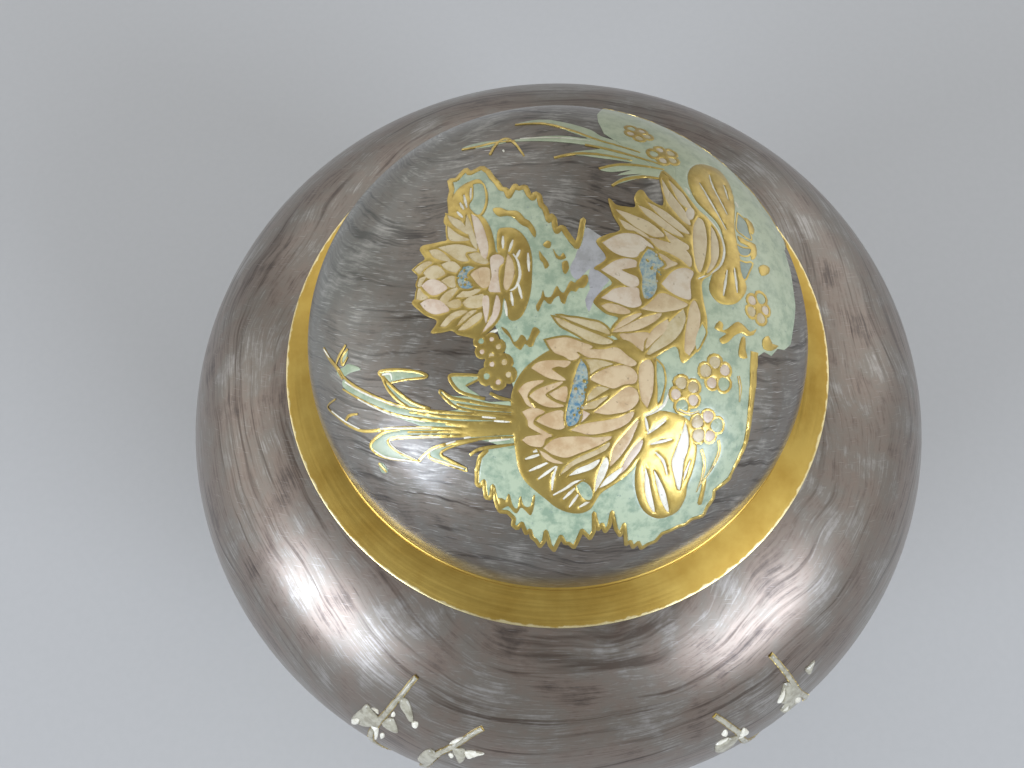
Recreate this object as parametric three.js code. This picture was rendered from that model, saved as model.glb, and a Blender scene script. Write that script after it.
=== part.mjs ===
// A lidded jar of spun brass: a broad-shouldered body in two shells, a bare brass band and an upright
// neck at its mouth, a foot ring, and a domed cap that drops over the neck. Millimetres, +Z up, with the
// origin at the middle of the face that the jar stands on.
import * as THREE from "three";

// Body
const BELLY_RADIUS = 95;
const BELLY_HEIGHT = 108;
const SHOULDER_RISE = 62.4;
const SHOULDER_POWER = 3;
const BODY_WALL = 1.2;
const SEAM_LAP = 8;
const BOWL_POWER = 2;

// Foot and base
const FOOT_RADIUS = 52;
const FOOT_HEIGHT = 8;
const FOOT_FLARE = 1.6;
const FOOT_RING_WALL = 5;
const BASE_FLANGE = 9;
const BASE_OVERLAP = 4;
const BASE_THICKNESS = 1.2;

// Mouth
const NECK_RADIUS = 49.5;
const NECK_WALL = 1.5;
const NECK_RISE = 12;
const NECK_TAIL = 2;
const NECK_LIP_ROUND = 0.5;
const BAND_SHOW = 7.4;
const BAND_THICKNESS = 0.8;
const BAND_EDGE_ROUND = 0.3;

// Lid
const LID_SKIRT = 4.3;
const LID_DOME_RISE = 34.5;
const LID_DOME_POWER = 2.2;
const LID_WALL = 1;
const BEZEL_WALL = 2;

// Clearances
const SOLDER_GAP = 0.2;
const LID_SLIP = 0.5;
const LID_SEAT_GAP = 0.3;
const BEZEL_LIFT = 0.5;

// Facets
const TURN_STEPS = 64;
const SHOULDER_STEPS = 8;
const BAND_STEPS = 3;
const BOWL_STEPS = 10;
const DOME_STEPS = 10;

// Finishes
const pearlLacquer = { color: 0x746c67, roughness: 0.35, metalness: 0.4 };
const bareBrass = { color: 0xb08d3c, roughness: 0.28, metalness: 1 };
const dullBrass = { color: 0x9a7f45, roughness: 0.5, metalness: 1 };

const point = (radius, height) => new THREE.Vector2(radius, height);

// Height of the shoulder's outer face at a radius: a quarter of a superellipse that stands on the belly.
function shoulderHeight(radius) {
  const share = 1 - (radius / BELLY_RADIUS) ** SHOULDER_POWER;
  return BELLY_HEIGHT + SHOULDER_RISE * share ** (1 / SHOULDER_POWER);
}

// Radius of the shoulder's outer face at a height above the belly.
function shoulderRadius(rise) {
  const share = 1 - (rise / SHOULDER_RISE) ** SHOULDER_POWER;
  return BELLY_RADIUS * share ** (1 / SHOULDER_POWER);
}

// How far straight up the shoulder's face lies from its own offset by a thickness.
function shoulderLift(radius, thickness) {
  const ratio = radius / BELLY_RADIUS;
  const share = 1 - ratio ** SHOULDER_POWER;
  const steepness = ratio ** (SHOULDER_POWER - 1) * share ** (1 / SHOULDER_POWER - 1);
  return thickness * Math.hypot(1, (SHOULDER_RISE / BELLY_RADIUS) * steepness);
}

// Points of the shoulder's outer face between two heights above the belly.
function shoulderArc(startRise, endRise, steps) {
  const angle = (rise) => Math.asin((rise / SHOULDER_RISE) ** (SHOULDER_POWER / 2));
  const start = angle(startRise);
  const end = angle(endRise);
  return Array.from({ length: steps + 1 }, (_, i) => {
    const turn = start + ((end - start) * i) / steps;
    const rise = SHOULDER_RISE * Math.sin(turn) ** (2 / SHOULDER_POWER);
    return point(shoulderRadius(rise), BELLY_HEIGHT + rise);
  });
}

// Points of the bowl's outer face, from the belly down to the foot.
function bowlArc(steps) {
  const depth = BELLY_HEIGHT - FOOT_HEIGHT;
  return Array.from({ length: steps + 1 }, (_, i) => {
    const share = i / steps;
    const radius = BELLY_RADIUS - (BELLY_RADIUS - FOOT_RADIUS) * share ** BOWL_POWER;
    return point(radius, BELLY_HEIGHT - depth * share);
  });
}

// A line of points moved sideways by a distance, to the left of its direction of travel.
function offset(line, distance) {
  return line.map((p, i) => {
    const before = line[Math.max(i - 1, 0)];
    const after = line[Math.min(i + 1, line.length - 1)];
    const along = after.clone().sub(before).normalize();
    return point(p.x - along.y * distance, p.y + along.x * distance);
  });
}

// A solid of revolution about +Z from a profile of (radius, height) points.
function turned(name, finish, profile) {
  const geometry = new THREE.LatheGeometry(profile, TURN_STEPS).rotateX(Math.PI / 2);
  const mesh = new THREE.Mesh(geometry, new THREE.MeshStandardMaterial(finish));
  mesh.name = name;
  return mesh;
}

const closed = (profile) => [...profile, profile[0].clone()];

// Sizes that follow from the driving ones
const mouthRadius = NECK_RADIUS + SOLDER_GAP;
const bezelInner = NECK_RADIUS + LID_SLIP;
const bezelOuter = bezelInner + BEZEL_WALL;
const lidInner = bezelOuter + SOLDER_GAP;
const lidRadius = lidInner + LID_WALL;
const bandRadius = lidRadius + BAND_SHOW;
const bandTopOver = (radius) => shoulderHeight(radius) + shoulderLift(radius, SOLDER_GAP + BAND_THICKNESS);
const lidRimHeight = bandTopOver(lidInner) + LID_SEAT_GAP;
const bezelBottom = bandTopOver(bezelInner) + BEZEL_LIFT;
const neckTop = bandTopOver(mouthRadius) + NECK_RISE;
const bandRise = shoulderHeight(bandRadius) - BELLY_HEIGHT;
const mouthRise = shoulderHeight(mouthRadius) - BELLY_HEIGHT;
const flangeInner = FOOT_RADIUS - BASE_FLANGE;

// Shoulder shell: from the belly seam up to the mouth, cut square to the neck there.
function shoulderShell() {
  const overLap = shoulderArc(0, SEAM_LAP, 1);
  const shoulder = shoulderArc(SEAM_LAP, bandRise, SHOULDER_STEPS);
  const underBand = shoulderArc(bandRise, mouthRise, BAND_STEPS);
  const outer = [...overLap, ...shoulder.slice(1), ...underBand.slice(1)];
  const inner = offset(outer, BODY_WALL);
  inner[0].set(BELLY_RADIUS - BODY_WALL, BELLY_HEIGHT);
  inner[inner.length - 1].set(mouthRadius, shoulderHeight(mouthRadius) - shoulderLift(mouthRadius, BODY_WALL));
  return turned("body_shoulder_shell", pearlLacquer, closed([...outer, ...inner.reverse()]));
}

// Bowl shell: from a lip that slips inside the shoulder shell down to a flange turned in over the foot.
function bowlShell() {
  const outer = bowlArc(BOWL_STEPS);
  outer[0].y -= SOLDER_GAP;
  const inner = offset(outer, -BODY_WALL).slice(1);
  const flangeTop = FOOT_HEIGHT + BODY_WALL;
  const [above, heel] = inner.slice(-2);
  heel.lerp(above, (flangeTop - heel.y) / (above.y - heel.y));
  const lipBottom = BELLY_HEIGHT - SOLDER_GAP;
  const lipTop = BELLY_HEIGHT + SEAM_LAP;
  const lipRadius = shoulderRadius(SEAM_LAP) - BODY_WALL - 2 * SOLDER_GAP;
  const lip = [
    point(lipRadius - BODY_WALL, lipBottom - BODY_WALL),
    point(lipRadius - BODY_WALL, lipTop),
    point(lipRadius, lipTop),
    point(lipRadius, lipBottom),
  ];
  const flange = [point(flangeInner, FOOT_HEIGHT), point(flangeInner, flangeTop)];
  return turned(
    "body_bowl_shell",
    pearlLacquer,
    closed([...outer, ...flange, ...inner.reverse(), ...lip]).reverse(),
  );
}

// Foot ring: a flared ring under the bowl's flange.
function footRing() {
  const top = FOOT_HEIGHT - SOLDER_GAP;
  const innerRadius = FOOT_RADIUS - FOOT_RING_WALL;
  return turned(
    "foot_ring",
    bareBrass,
    closed([
      point(innerRadius, 0),
      point(FOOT_RADIUS + FOOT_FLARE, 0),
      point(FOOT_RADIUS + FOOT_FLARE, top / 4),
      point(FOOT_RADIUS - FOOT_FLARE / 4, top / 2),
      point(FOOT_RADIUS - FOOT_FLARE / 2, top),
      point(innerRadius, top),
    ]),
  );
}

// Base plate: a disc that lies on the bowl's flange and closes the jar.
function basePlate() {
  const bottom = FOOT_HEIGHT + BODY_WALL + SOLDER_GAP;
  const top = bottom + BASE_THICKNESS;
  const radius = flangeInner + BASE_OVERLAP;
  return turned("base_plate", dullBrass, [point(0, bottom), point(radius, bottom), point(radius, top), point(0, top)]);
}

// Shoulder band: a flat ring of bare brass that lies on the shoulder around the neck.
function shoulderBand() {
  const seat = shoulderArc(bandRise, mouthRise, BAND_STEPS);
  const lower = offset(seat, -SOLDER_GAP);
  const upper = offset(seat, -SOLDER_GAP - BAND_THICKNESS);
  lower[BAND_STEPS].set(mouthRadius, shoulderHeight(mouthRadius) + shoulderLift(mouthRadius, SOLDER_GAP));
  upper[BAND_STEPS].set(mouthRadius, bandTopOver(mouthRadius));
  const edge = upper[0].clone().lerp(lower[0], BAND_EDGE_ROUND / BAND_THICKNESS);
  const turnOver = upper[0].clone().lerp(upper[1], BAND_EDGE_ROUND / upper[0].distanceTo(upper[1]));
  return turned(
    "shoulder_band",
    bareBrass,
    closed([lower[0], edge, turnOver, ...upper.slice(1), ...lower.slice(1).reverse()]),
  );
}

// Neck collar: an upright ring in the mouth of the shoulder shell, with a rounded lip.
function neckCollar() {
  const innerRadius = NECK_RADIUS - NECK_WALL;
  const bottom = shoulderHeight(mouthRadius) - shoulderLift(mouthRadius, BODY_WALL) - NECK_TAIL;
  return turned(
    "neck_collar",
    bareBrass,
    closed([
      point(innerRadius, bottom),
      point(NECK_RADIUS, bottom),
      point(NECK_RADIUS, neckTop - NECK_LIP_ROUND),
      point(NECK_RADIUS - NECK_LIP_ROUND, neckTop),
      point(innerRadius + NECK_LIP_ROUND, neckTop),
      point(innerRadius, neckTop - NECK_LIP_ROUND),
    ]),
  );
}

// A quarter of the dome's superellipse, from the top of the skirt to the axis.
function domeArc(radius, rise) {
  return Array.from({ length: DOME_STEPS + 1 }, (_, i) => {
    const turn = (Math.PI / 2) * (i / DOME_STEPS);
    const across = radius * Math.cos(turn) ** (2 / LID_DOME_POWER);
    const up = rise * Math.sin(turn) ** (2 / LID_DOME_POWER);
    return point(i === DOME_STEPS ? 0 : across, lidRimHeight + LID_SKIRT + up);
  });
}

// Lid dome: a spun cap with a short upright skirt.
function lidDome() {
  const outer = [point(lidRadius, lidRimHeight), ...domeArc(lidRadius, LID_DOME_RISE)];
  const inner = [point(lidInner, lidRimHeight), ...domeArc(lidInner, LID_DOME_RISE - LID_WALL)];
  return turned("lid_dome", pearlLacquer, [...inner.reverse(), ...outer]);
}

// Lid bezel: a ring inside the skirt, up to the skirt's top, that slides over the neck.
function lidBezel() {
  const top = lidRimHeight + LID_SKIRT;
  return turned(
    "lid_bezel",
    dullBrass,
    closed([
      point(bezelInner, bezelBottom),
      point(bezelOuter, bezelBottom),
      point(bezelOuter, top),
      point(bezelInner, top),
    ]),
  );
}

const pot = new THREE.Group();
pot.add(shoulderShell(), bowlShell(), footRing(), basePlate(), shoulderBand(), neckCollar());

const lid = new THREE.Group();
lid.add(lidDome(), lidBezel());

const jar = new THREE.Group();
jar.add(pot, lid);

export default jar;
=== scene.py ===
"""Dresses a lidded jar of spun brass: turned shells, pearl lacquer, a bare band and an enamelled lid."""

import bisect
import logging
import math
import random
from dataclasses import dataclass, field
from enum import Enum
from typing import Sequence

import bmesh
import bpy
from bpy.types import Camera, Light, Material, Mesh, Node, NodeSocket, NodeTree, Object
from mathutils import Matrix, Vector
from mathutils.geometry import delaunay_2d_cdt
from mathutils.kdtree import KDTree


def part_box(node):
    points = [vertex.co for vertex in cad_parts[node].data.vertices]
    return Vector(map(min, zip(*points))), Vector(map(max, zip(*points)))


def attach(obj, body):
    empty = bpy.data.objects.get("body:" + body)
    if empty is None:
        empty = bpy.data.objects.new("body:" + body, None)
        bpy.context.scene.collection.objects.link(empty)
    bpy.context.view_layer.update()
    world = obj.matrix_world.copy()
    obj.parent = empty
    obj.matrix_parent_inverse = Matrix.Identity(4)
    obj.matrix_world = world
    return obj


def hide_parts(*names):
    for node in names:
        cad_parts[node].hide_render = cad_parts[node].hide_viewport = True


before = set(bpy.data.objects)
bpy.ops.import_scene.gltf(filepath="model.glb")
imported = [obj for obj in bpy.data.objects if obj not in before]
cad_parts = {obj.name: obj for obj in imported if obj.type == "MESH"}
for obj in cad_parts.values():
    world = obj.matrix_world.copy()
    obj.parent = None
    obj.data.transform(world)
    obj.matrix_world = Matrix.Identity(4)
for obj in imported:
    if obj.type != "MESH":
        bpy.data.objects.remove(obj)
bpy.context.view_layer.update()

log = logging.getLogger("jar")

MM = 0.001

Pixel = tuple[float, float]
# A line through pixels picked in the photograph: across, down, across, down and so on.
Outline = tuple[float, ...]
Profile = list[tuple[float, float]]
# Half widths of a band at its start, in its middle and at its end, in millimetres.
Widths = tuple[float, float, float]
# What feeds a node's input: a socket, or a node whose first live output does.
Feed = NodeSocket | Node


def linear(hex_colour: str) -> tuple[float, float, float, float]:
    """Turns an sRGB hex colour into linear RGBA.

    Args:
        hex_colour: six hex digits after a hash sign.

    Returns:
        Linear red, green and blue with full alpha.
    """
    channels = [int(hex_colour[i : i + 2], 16) / 255 for i in (1, 3, 5)]
    linears = [c / 12.92 if c <= 0.04045 else ((c + 0.055) / 1.055) ** 2.4 for c in channels]
    return (*linears, 1.0)


def per_mm(size: float) -> float:
    """Returns the scale of a pattern whose features are this many millimetres."""
    return 1 / (size * MM)


def span(low: float, high: float, start: float = 0.0, end: float = 1.0) -> dict[str, float]:
    """Names the limits of a map range: low and high in, start and end out."""
    return {"From Min": low, "From Max": high, "To Min": start, "To Max": end}


def feed(tree: NodeTree, node: Node, inputs: dict) -> None:
    """Gives a node its inputs.

    Args:
        tree: tree that holds the node.
        node: node to feed.
        inputs: socket name or index to a constant or to what feeds it.
    """
    for socket, value in inputs.items():
        if isinstance(value, Node):
            value = next(output for output in value.outputs if output.enabled)
        if isinstance(value, NodeSocket):
            tree.links.new(value, node.inputs[socket])
        else:
            node.inputs[socket].default_value = value


def add_node(tree: NodeTree, kind: str, inputs: dict | None = None, **settings: object) -> Node:
    """Adds one node to a tree with its settings and its inputs.

    Args:
        tree: shader or geometry tree that takes the node.
        kind: Blender's type name of the node.
        inputs: socket name or index to a constant or to what feeds it.
        settings: the node's own properties.

    Returns:
        The new node.
    """
    node = tree.nodes.new(kind)
    for name, value in settings.items():
        setattr(node, name, value)
    feed(tree, node, inputs or {})
    return node


def link_object(name: str, data: Mesh | Camera | Light) -> Object:
    """Puts a mesh, a camera or a lamp into the scene as an object at the origin.

    Args:
        name: name of the object.
        data: what it holds.

    Returns:
        The new object.
    """
    piece = bpy.data.objects.new(name, data)
    bpy.context.scene.collection.objects.link(piece)
    return piece


def bake_nodes(name: str, source: Mesh, tree: NodeTree, values: dict) -> Object:
    """Runs a geometry tree on a mesh and keeps the result as a plain object.

    Args:
        name: name of the finished piece.
        source: mesh that goes into the tree.
        tree: geometry tree with named inputs.
        values: input name to its value.

    Returns:
        An object at the origin with a plain mesh and no modifier.
    """
    piece = link_object(name, source)
    modifier = piece.modifiers.new(tree.name, "NODES")
    modifier.node_group = tree
    sockets = {s.name: s.identifier for s in tree.interface.items_tree if s.in_out == "INPUT"}
    for label, value in values.items():
        modifier[sockets[label]] = value
    evaluated = piece.evaluated_get(bpy.context.evaluated_depsgraph_get())
    mesh = bpy.data.meshes.new_from_object(evaluated)
    piece.modifiers.remove(modifier)
    piece.data = mesh
    mesh.name = name
    bpy.data.meshes.remove(source)
    return piece


def new_geometry_tree(name: str, inputs: dict[str, str]) -> tuple[NodeTree, Node]:
    """Starts a geometry tree that takes a mesh and a material, and gives a mesh.

    Args:
        name: name of the tree.
        inputs: name of each other input to its socket type.

    Returns:
        The tree and its input node.
    """
    tree = bpy.data.node_groups.new(name, "GeometryNodeTree")
    for label, kind in {"Geometry": "Geometry", **inputs, "Material": "Material"}.items():
        tree.interface.new_socket(label, in_out="INPUT", socket_type="NodeSocket" + kind)
    tree.interface.new_socket("Geometry", in_out="OUTPUT", socket_type="NodeSocketGeometry")
    return tree, add_node(tree, "NodeGroupInput")


def end_geometry_tree(tree: NodeTree, shape: Feed, given: Node) -> None:
    """Ends a tree in real geometry with its material.

    Args:
        tree: geometry tree.
        shape: what it has made.
        given: its input node.
    """
    real = add_node(tree, "GeometryNodeRealizeInstances", {"Geometry": shape})
    dress = {"Geometry": real, "Material": given.outputs["Material"]}
    add_node(tree, "NodeGroupOutput", {"Geometry": add_node(tree, "GeometryNodeSetMaterial", dress)})


# Finishes


@dataclass(frozen=True)
class Finish:
    """A named surface finish that paints one material."""

    name: str

    def material(self) -> Material:
        """Returns this finish's material, made on first use."""
        return bpy.data.materials.get(self.name) or self._make()

    def _make(self) -> Material:
        """Makes the material with its shader and lets the finish paint it.

        Returns:
            The new material.
        """
        material = bpy.data.materials.new(self.name)
        material.use_nodes = True
        tree = material.node_tree
        tree.nodes.clear()
        shader = add_node(tree, "ShaderNodeBsdfPrincipled")
        add_node(tree, "ShaderNodeOutputMaterial", {"Surface": shader})
        feed(tree, shader, self.paint(tree, add_node(tree, "ShaderNodeTexCoord").outputs["Object"]))
        return material

    def paint(self, tree: NodeTree, place: Feed) -> dict:
        """Builds the finish.

        Args:
            tree: shader tree.
            place: object coordinates in metres.

        Returns:
            Shader input to a constant or to what feeds it.
        """
        raise NotImplementedError


def ramp(tree: NodeTree, factor: Feed, stops: dict[float, str]) -> Node:
    """Maps a factor to colours.

    Args:
        tree: shader tree.
        factor: values from 0 to 1.
        stops: place on the ramp to an sRGB hex colour.

    Returns:
        The ramp.
    """
    node = add_node(tree, "ShaderNodeValToRGB", {"Fac": factor})
    elements = node.color_ramp.elements
    while len(elements) < len(stops):
        elements.new(0.5)
    for element, (place, colour) in zip(elements, sorted(stops.items())):
        element.position = place
        element.color = linear(colour)
    return node


def layered(tree: NodeTree, colour: Feed, layers: Sequence[tuple[Feed, str]]) -> Feed:
    """Lays colours one over another.

    Args:
        tree: shader tree.
        colour: what lies under them.
        layers: how much each covers, from 0 to 1, and its sRGB hex colour.

    Returns:
        The top of the layers.
    """
    for cover, shade in layers:
        parts = {"Factor": cover, 6: colour, 7: linear(shade)}
        colour = add_node(tree, "ShaderNodeMix", parts, data_type="RGBA")
    return colour


# How far a noise usually strays from its middle.
NOISE_SWING = 0.25


def drifted(tree: NodeTree, place: Feed, swirl_mm: float, drift_mm: float) -> Node:
    """Makes coordinates wander, so that a pattern on them swirls.

    Args:
        tree: shader tree.
        place: coordinates in metres.
        swirl_mm: size of the swirls.
        drift_mm: how far they carry the pattern.

    Returns:
        The wandering coordinates.
    """
    wander = {"Vector": place, "Scale": per_mm(swirl_mm), "Detail": 1.0, "Roughness": 0.4}
    swirl = add_node(tree, "ShaderNodeTexNoise", wander).outputs["Color"]
    centred = add_node(tree, "ShaderNodeVectorMath", {0: swirl, 1: (0.5,) * 3}, operation="SUBTRACT")
    reach = (drift_mm * MM / NOISE_SWING,) * 3
    return add_node(tree, "ShaderNodeVectorMath", {0: centred, 1: reach, 2: place}, operation="MULTIPLY_ADD")


STREAK_ROUGHNESS = 0.62
# The share of the radius, or of the height, that slants the streaks over a face.
TURNED_SLANT = 0.7
STRAIGHT_SLANT = 0.6


def turning_streaks(tree: NodeTree, place: Feed, width_mm: float, per_radian: float, detail: float) -> Node:
    """Streaks that run round the jar's axis, with no seam.

    Args:
        tree: shader tree.
        place: coordinates in metres.
        width_mm: width of one streak.
        per_radian: how often a streak changes along its way round.
        detail: octaves of finer streaks.

    Returns:
        The streaks as a factor from 0 to 1.
    """
    fine = per_mm(width_mm)
    flat = add_node(tree, "ShaderNodeVectorMath", {0: place, 1: (1.0, 1.0, 0.0)}, operation="MULTIPLY")
    heading = add_node(tree, "ShaderNodeVectorMath", {0: flat}, operation="NORMALIZE")
    climb = add_node(tree, "ShaderNodeVectorMath", {0: place, 1: (0.0, 0.0, fine)}, operation="MULTIPLY")
    around = {0: heading, 1: (per_radian,) * 3, 2: climb}
    turn = add_node(tree, "ShaderNodeVectorMath", around, operation="MULTIPLY_ADD")
    radius = add_node(tree, "ShaderNodeVectorMath", {0: flat}, operation="LENGTH")
    # The height less a share of the radius falls all the way from the mouth to the foot.
    reach = add_node(tree, "ShaderNodeMath", {0: radius, 1: -TURNED_SLANT * fine}, operation="MULTIPLY")
    lean = add_node(tree, "ShaderNodeCombineXYZ", {"Z": reach})
    way = add_node(tree, "ShaderNodeVectorMath", {0: turn, 1: lean}, operation="ADD")
    drawn = {"Vector": way, "Scale": 1.0, "Detail": detail, "Roughness": STREAK_ROUGHNESS}
    return add_node(tree, "ShaderNodeTexNoise", drawn)


def straight_streaks(tree: NodeTree, place: Feed, width_mm: float, length_mm: float, detail: float) -> Node:
    """Streaks that run from side to side.

    Args:
        tree: shader tree.
        place: coordinates in metres.
        width_mm: width of one streak.
        length_mm: its length.
        detail: octaves of finer streaks.

    Returns:
        The streaks as a factor from 0 to 1.
    """
    fine = per_mm(width_mm)
    axes = {"X": (per_mm(length_mm), 0.0, 0.0), "Y": (0.0, fine, STRAIGHT_SLANT * fine)}
    ways = {
        axis: add_node(tree, "ShaderNodeVectorMath", {0: place, 1: way}, operation="DOT_PRODUCT")
        for axis, way in axes.items()
    }
    way = add_node(tree, "ShaderNodeCombineXYZ", ways)
    drawn = {"Vector": way, "Scale": 1.0, "Detail": detail, "Roughness": STREAK_ROUGHNESS}
    return add_node(tree, "ShaderNodeTexNoise", drawn)


class Brush(Enum):
    """Ways the lacquer is brushed on."""

    TURNED = "round the axis"
    STRAIGHT = "from side to side"


@dataclass(frozen=True)
class PearlLacquer(Finish):
    """Mica lacquer brushed on: silky clouded streaks and dark sweeps that flare white in a light."""

    deep: str = "#514942"
    body: str = "#7c7369"
    pearl: str = "#a9a39e"
    wisp: str = "#b7ada7"
    warm: str = "#fff5f1"
    cool: str = "#f2f4f3"
    scratch: str = "#d6d3ce"
    # Colour of a silvery painted sheen, laid on one flank where a lamp's reflection would fall.
    painted_sheen: str = "#97a09a"
    brush: Brush = Brush.TURNED
    streak_mm: float = 0.55
    per_radian: float = 9.0
    wisp_mm: float = 2.4
    wisp_per_radian: float = 1.5
    straight_length: float = 9.0
    swirl_mm: float = 64.0
    drift_mm: float = 8.5
    curl_mm: float = 12.0
    curl_drift_mm: float = 0.5
    patch_mm: float = 13.0
    patchy: float = 0.6
    grain_mm: float = 0.03
    roughness: tuple[float, float] = (0.28, 0.38)
    metallic: float = 0.65
    coat: float = 0.3
    coat_roughness: float = 0.22
    scratched: float = 0.15
    scratch_mm: tuple[float, float] = (0.25, 4.0)
    painted_sheen_share: float = 0.0
    # A silvery painted sheen lies on one flank of the lid, in place of a reflection: the way to it, and
    # where along it the painted sheen starts and is full.
    painted_sheen_way: tuple[float, float, float] = (-0.9, 0.3, -0.32)
    painted_sheen_mm: tuple[float, float] = (-42.0, -8.0)

    def paint(self, tree: NodeTree, place: Feed) -> dict:
        """Pearl streaks with warm and cool patches, dark sweeps, scratches and a silvery painted sheen on
        one flank, under a thin gloss.

        Args:
            tree: shader tree.
            place: object coordinates in metres.

        Returns:
            Shader input to a constant or to what feeds it.
        """
        swirls = drifted(tree, place, self.swirl_mm, self.drift_mm)
        curls = drifted(tree, swirls, self.curl_mm, self.curl_drift_mm)
        if self.brush is Brush.TURNED:
            streaks = turning_streaks(tree, curls, self.streak_mm, self.per_radian, detail=5.0)
            sweeps = turning_streaks(tree, curls, self.wisp_mm, self.wisp_per_radian, detail=3.0)
        else:
            long = self.straight_length
            streaks = straight_streaks(tree, curls, self.streak_mm, self.streak_mm * long, detail=5.0)
            sweeps = straight_streaks(tree, curls, self.wisp_mm, self.wisp_mm * long, detail=3.0)
        cloudy = {"Vector": swirls, "Scale": per_mm(self.patch_mm), "Detail": 8.0, "Roughness": 0.66}
        patches = add_node(tree, "ShaderNodeTexNoise", cloudy)
        shares = {"Factor": self.patchy, 2: streaks, 3: patches}
        blend = add_node(tree, "ShaderNodeMix", shares, data_type="FLOAT")
        tones = {0.35: self.deep, 0.47: self.body, 0.53: self.body, 0.66: self.pearl}
        colour: Feed = ramp(tree, blend, tones)
        tint = ramp(tree, patches, {0.42: self.warm, 0.56: self.cool})
        lines = ramp(tree, sweeps, {0.33: self.wisp, 0.45: "#ffffff"})
        for shade in (tint, lines):
            parts = {"Factor": 1.0, 6: colour, 7: shade}
            colour = add_node(tree, "ShaderNodeMix", parts, data_type="RGBA", blend_type="MULTIPLY")
        hairs = straight_streaks(tree, place, *self.scratch_mm, detail=1.0)
        marks = {"Value": hairs, **span(0.66, 0.74, 0.0, self.scratched)}
        scratches = add_node(tree, "ShaderNodeMapRange", marks)
        # Painted sheen: the colour turns silvery towards one flank, standing in for a reflection of the
        # lamps.
        aside = add_node(tree, "ShaderNodeVectorMath", {0: place, 1: self.painted_sheen_way}, operation="DOT_PRODUCT")
        edges = (edge * MM for edge in self.painted_sheen_mm)
        painted_sheen = add_node(tree, "ShaderNodeMapRange", {"Value": aside, **span(*edges, 0.0, self.painted_sheen_share)})
        gloss = {"Value": streaks, **span(0.35, 0.65, *self.roughness[::-1])}
        grain = {"Height": blend, "Distance": self.grain_mm * MM, "Strength": 0.23}
        return {
            "Base Color": layered(tree, colour, ((scratches, self.scratch), (painted_sheen, self.painted_sheen))),
            "Roughness": add_node(tree, "ShaderNodeMapRange", gloss),
            "Normal": add_node(tree, "ShaderNodeBump", grain),
            "Metallic": self.metallic,
            "Coat Weight": self.coat,
            "Coat Roughness": self.coat_roughness,
        }


@dataclass(frozen=True)
class TurnedBrass(Finish):
    """Brass skimmed on a lathe: fine rings round the axis and a warm, slightly tarnished face."""

    bright: str = "#c4a657"
    tarnish: str = "#b08f44"
    rubbed_and_glint: str = "#eee0ae"
    # Past this radius the edge is painted pale, as rubbed bare brass and as a painted highlight along the
    # bevel. No piece is so wide, unless its finish says less.
    pale_edge_from_mm: float = 1000.0
    pale_edge_over_mm: tuple[float, float] = (0.6, 0.9)
    pale_edge_share: float = 0.85
    nick_mm: float = 1.4
    nick_size_mm: float = 2.0
    cloud_mm: float = 12.0
    # Real lathe rings are too fine to show in the render, so they are drawn this far apart.
    ring_mm: float = 0.5
    ring_depth_mm: float = 0.012
    per_radian: float = 3.0
    roughness: tuple[float, float] = (0.28, 0.40)

    def paint(self, tree: NodeTree, place: Feed) -> dict:
        """Lathe rings in the gloss, cloudy tarnish in the colour and, past a radius, an edge painted pale:
        rubbed brass and a painted highlight.

        Args:
            tree: shader tree.
            place: object coordinates in metres.

        Returns:
            Shader input to a constant or to what feeds it.
        """
        rings = turning_streaks(tree, place, self.ring_mm, self.per_radian, detail=3.0)
        cloudy = {"Vector": place, "Scale": per_mm(self.cloud_mm), "Detail": 5.0, "Roughness": 0.6}
        clouds = add_node(tree, "ShaderNodeTexNoise", cloudy)
        flat = add_node(tree, "ShaderNodeVectorMath", {0: place, 1: (1.0, 1.0, 0.0)}, operation="MULTIPLY")
        radius = add_node(tree, "ShaderNodeVectorMath", {0: flat}, operation="LENGTH")
        chipped = {"Vector": place, "Scale": per_mm(self.nick_size_mm), "Detail": 3.0}
        nicks = add_node(tree, "ShaderNodeTexNoise", chipped)
        nicked = {0: nicks, 1: self.nick_mm * MM, 2: radius}
        uneven = add_node(tree, "ShaderNodeMath", nicked, operation="MULTIPLY_ADD")
        # Wear and painted highlight: a pale ring, nicked unevenly, at the outer edge.
        limits = (self.pale_edge_from_mm * MM + over * MM for over in self.pale_edge_over_mm)
        worn = {"Value": uneven, **span(*limits, 0.0, self.pale_edge_share)}
        edge = add_node(tree, "ShaderNodeMapRange", worn)
        colour = ramp(tree, clouds, {0.36: self.tarnish, 0.62: self.bright})
        gloss = {"Value": rings, **span(0.3, 0.7, *self.roughness)}
        grooves = {"Height": rings, "Distance": self.ring_depth_mm * MM, "Strength": 0.15}
        return {
            "Base Color": layered(tree, colour, ((edge, self.rubbed_and_glint),)),
            "Roughness": add_node(tree, "ShaderNodeMapRange", gloss),
            "Normal": add_node(tree, "ShaderNodeBump", grooves),
            "Metallic": 1.0,
        }


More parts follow.
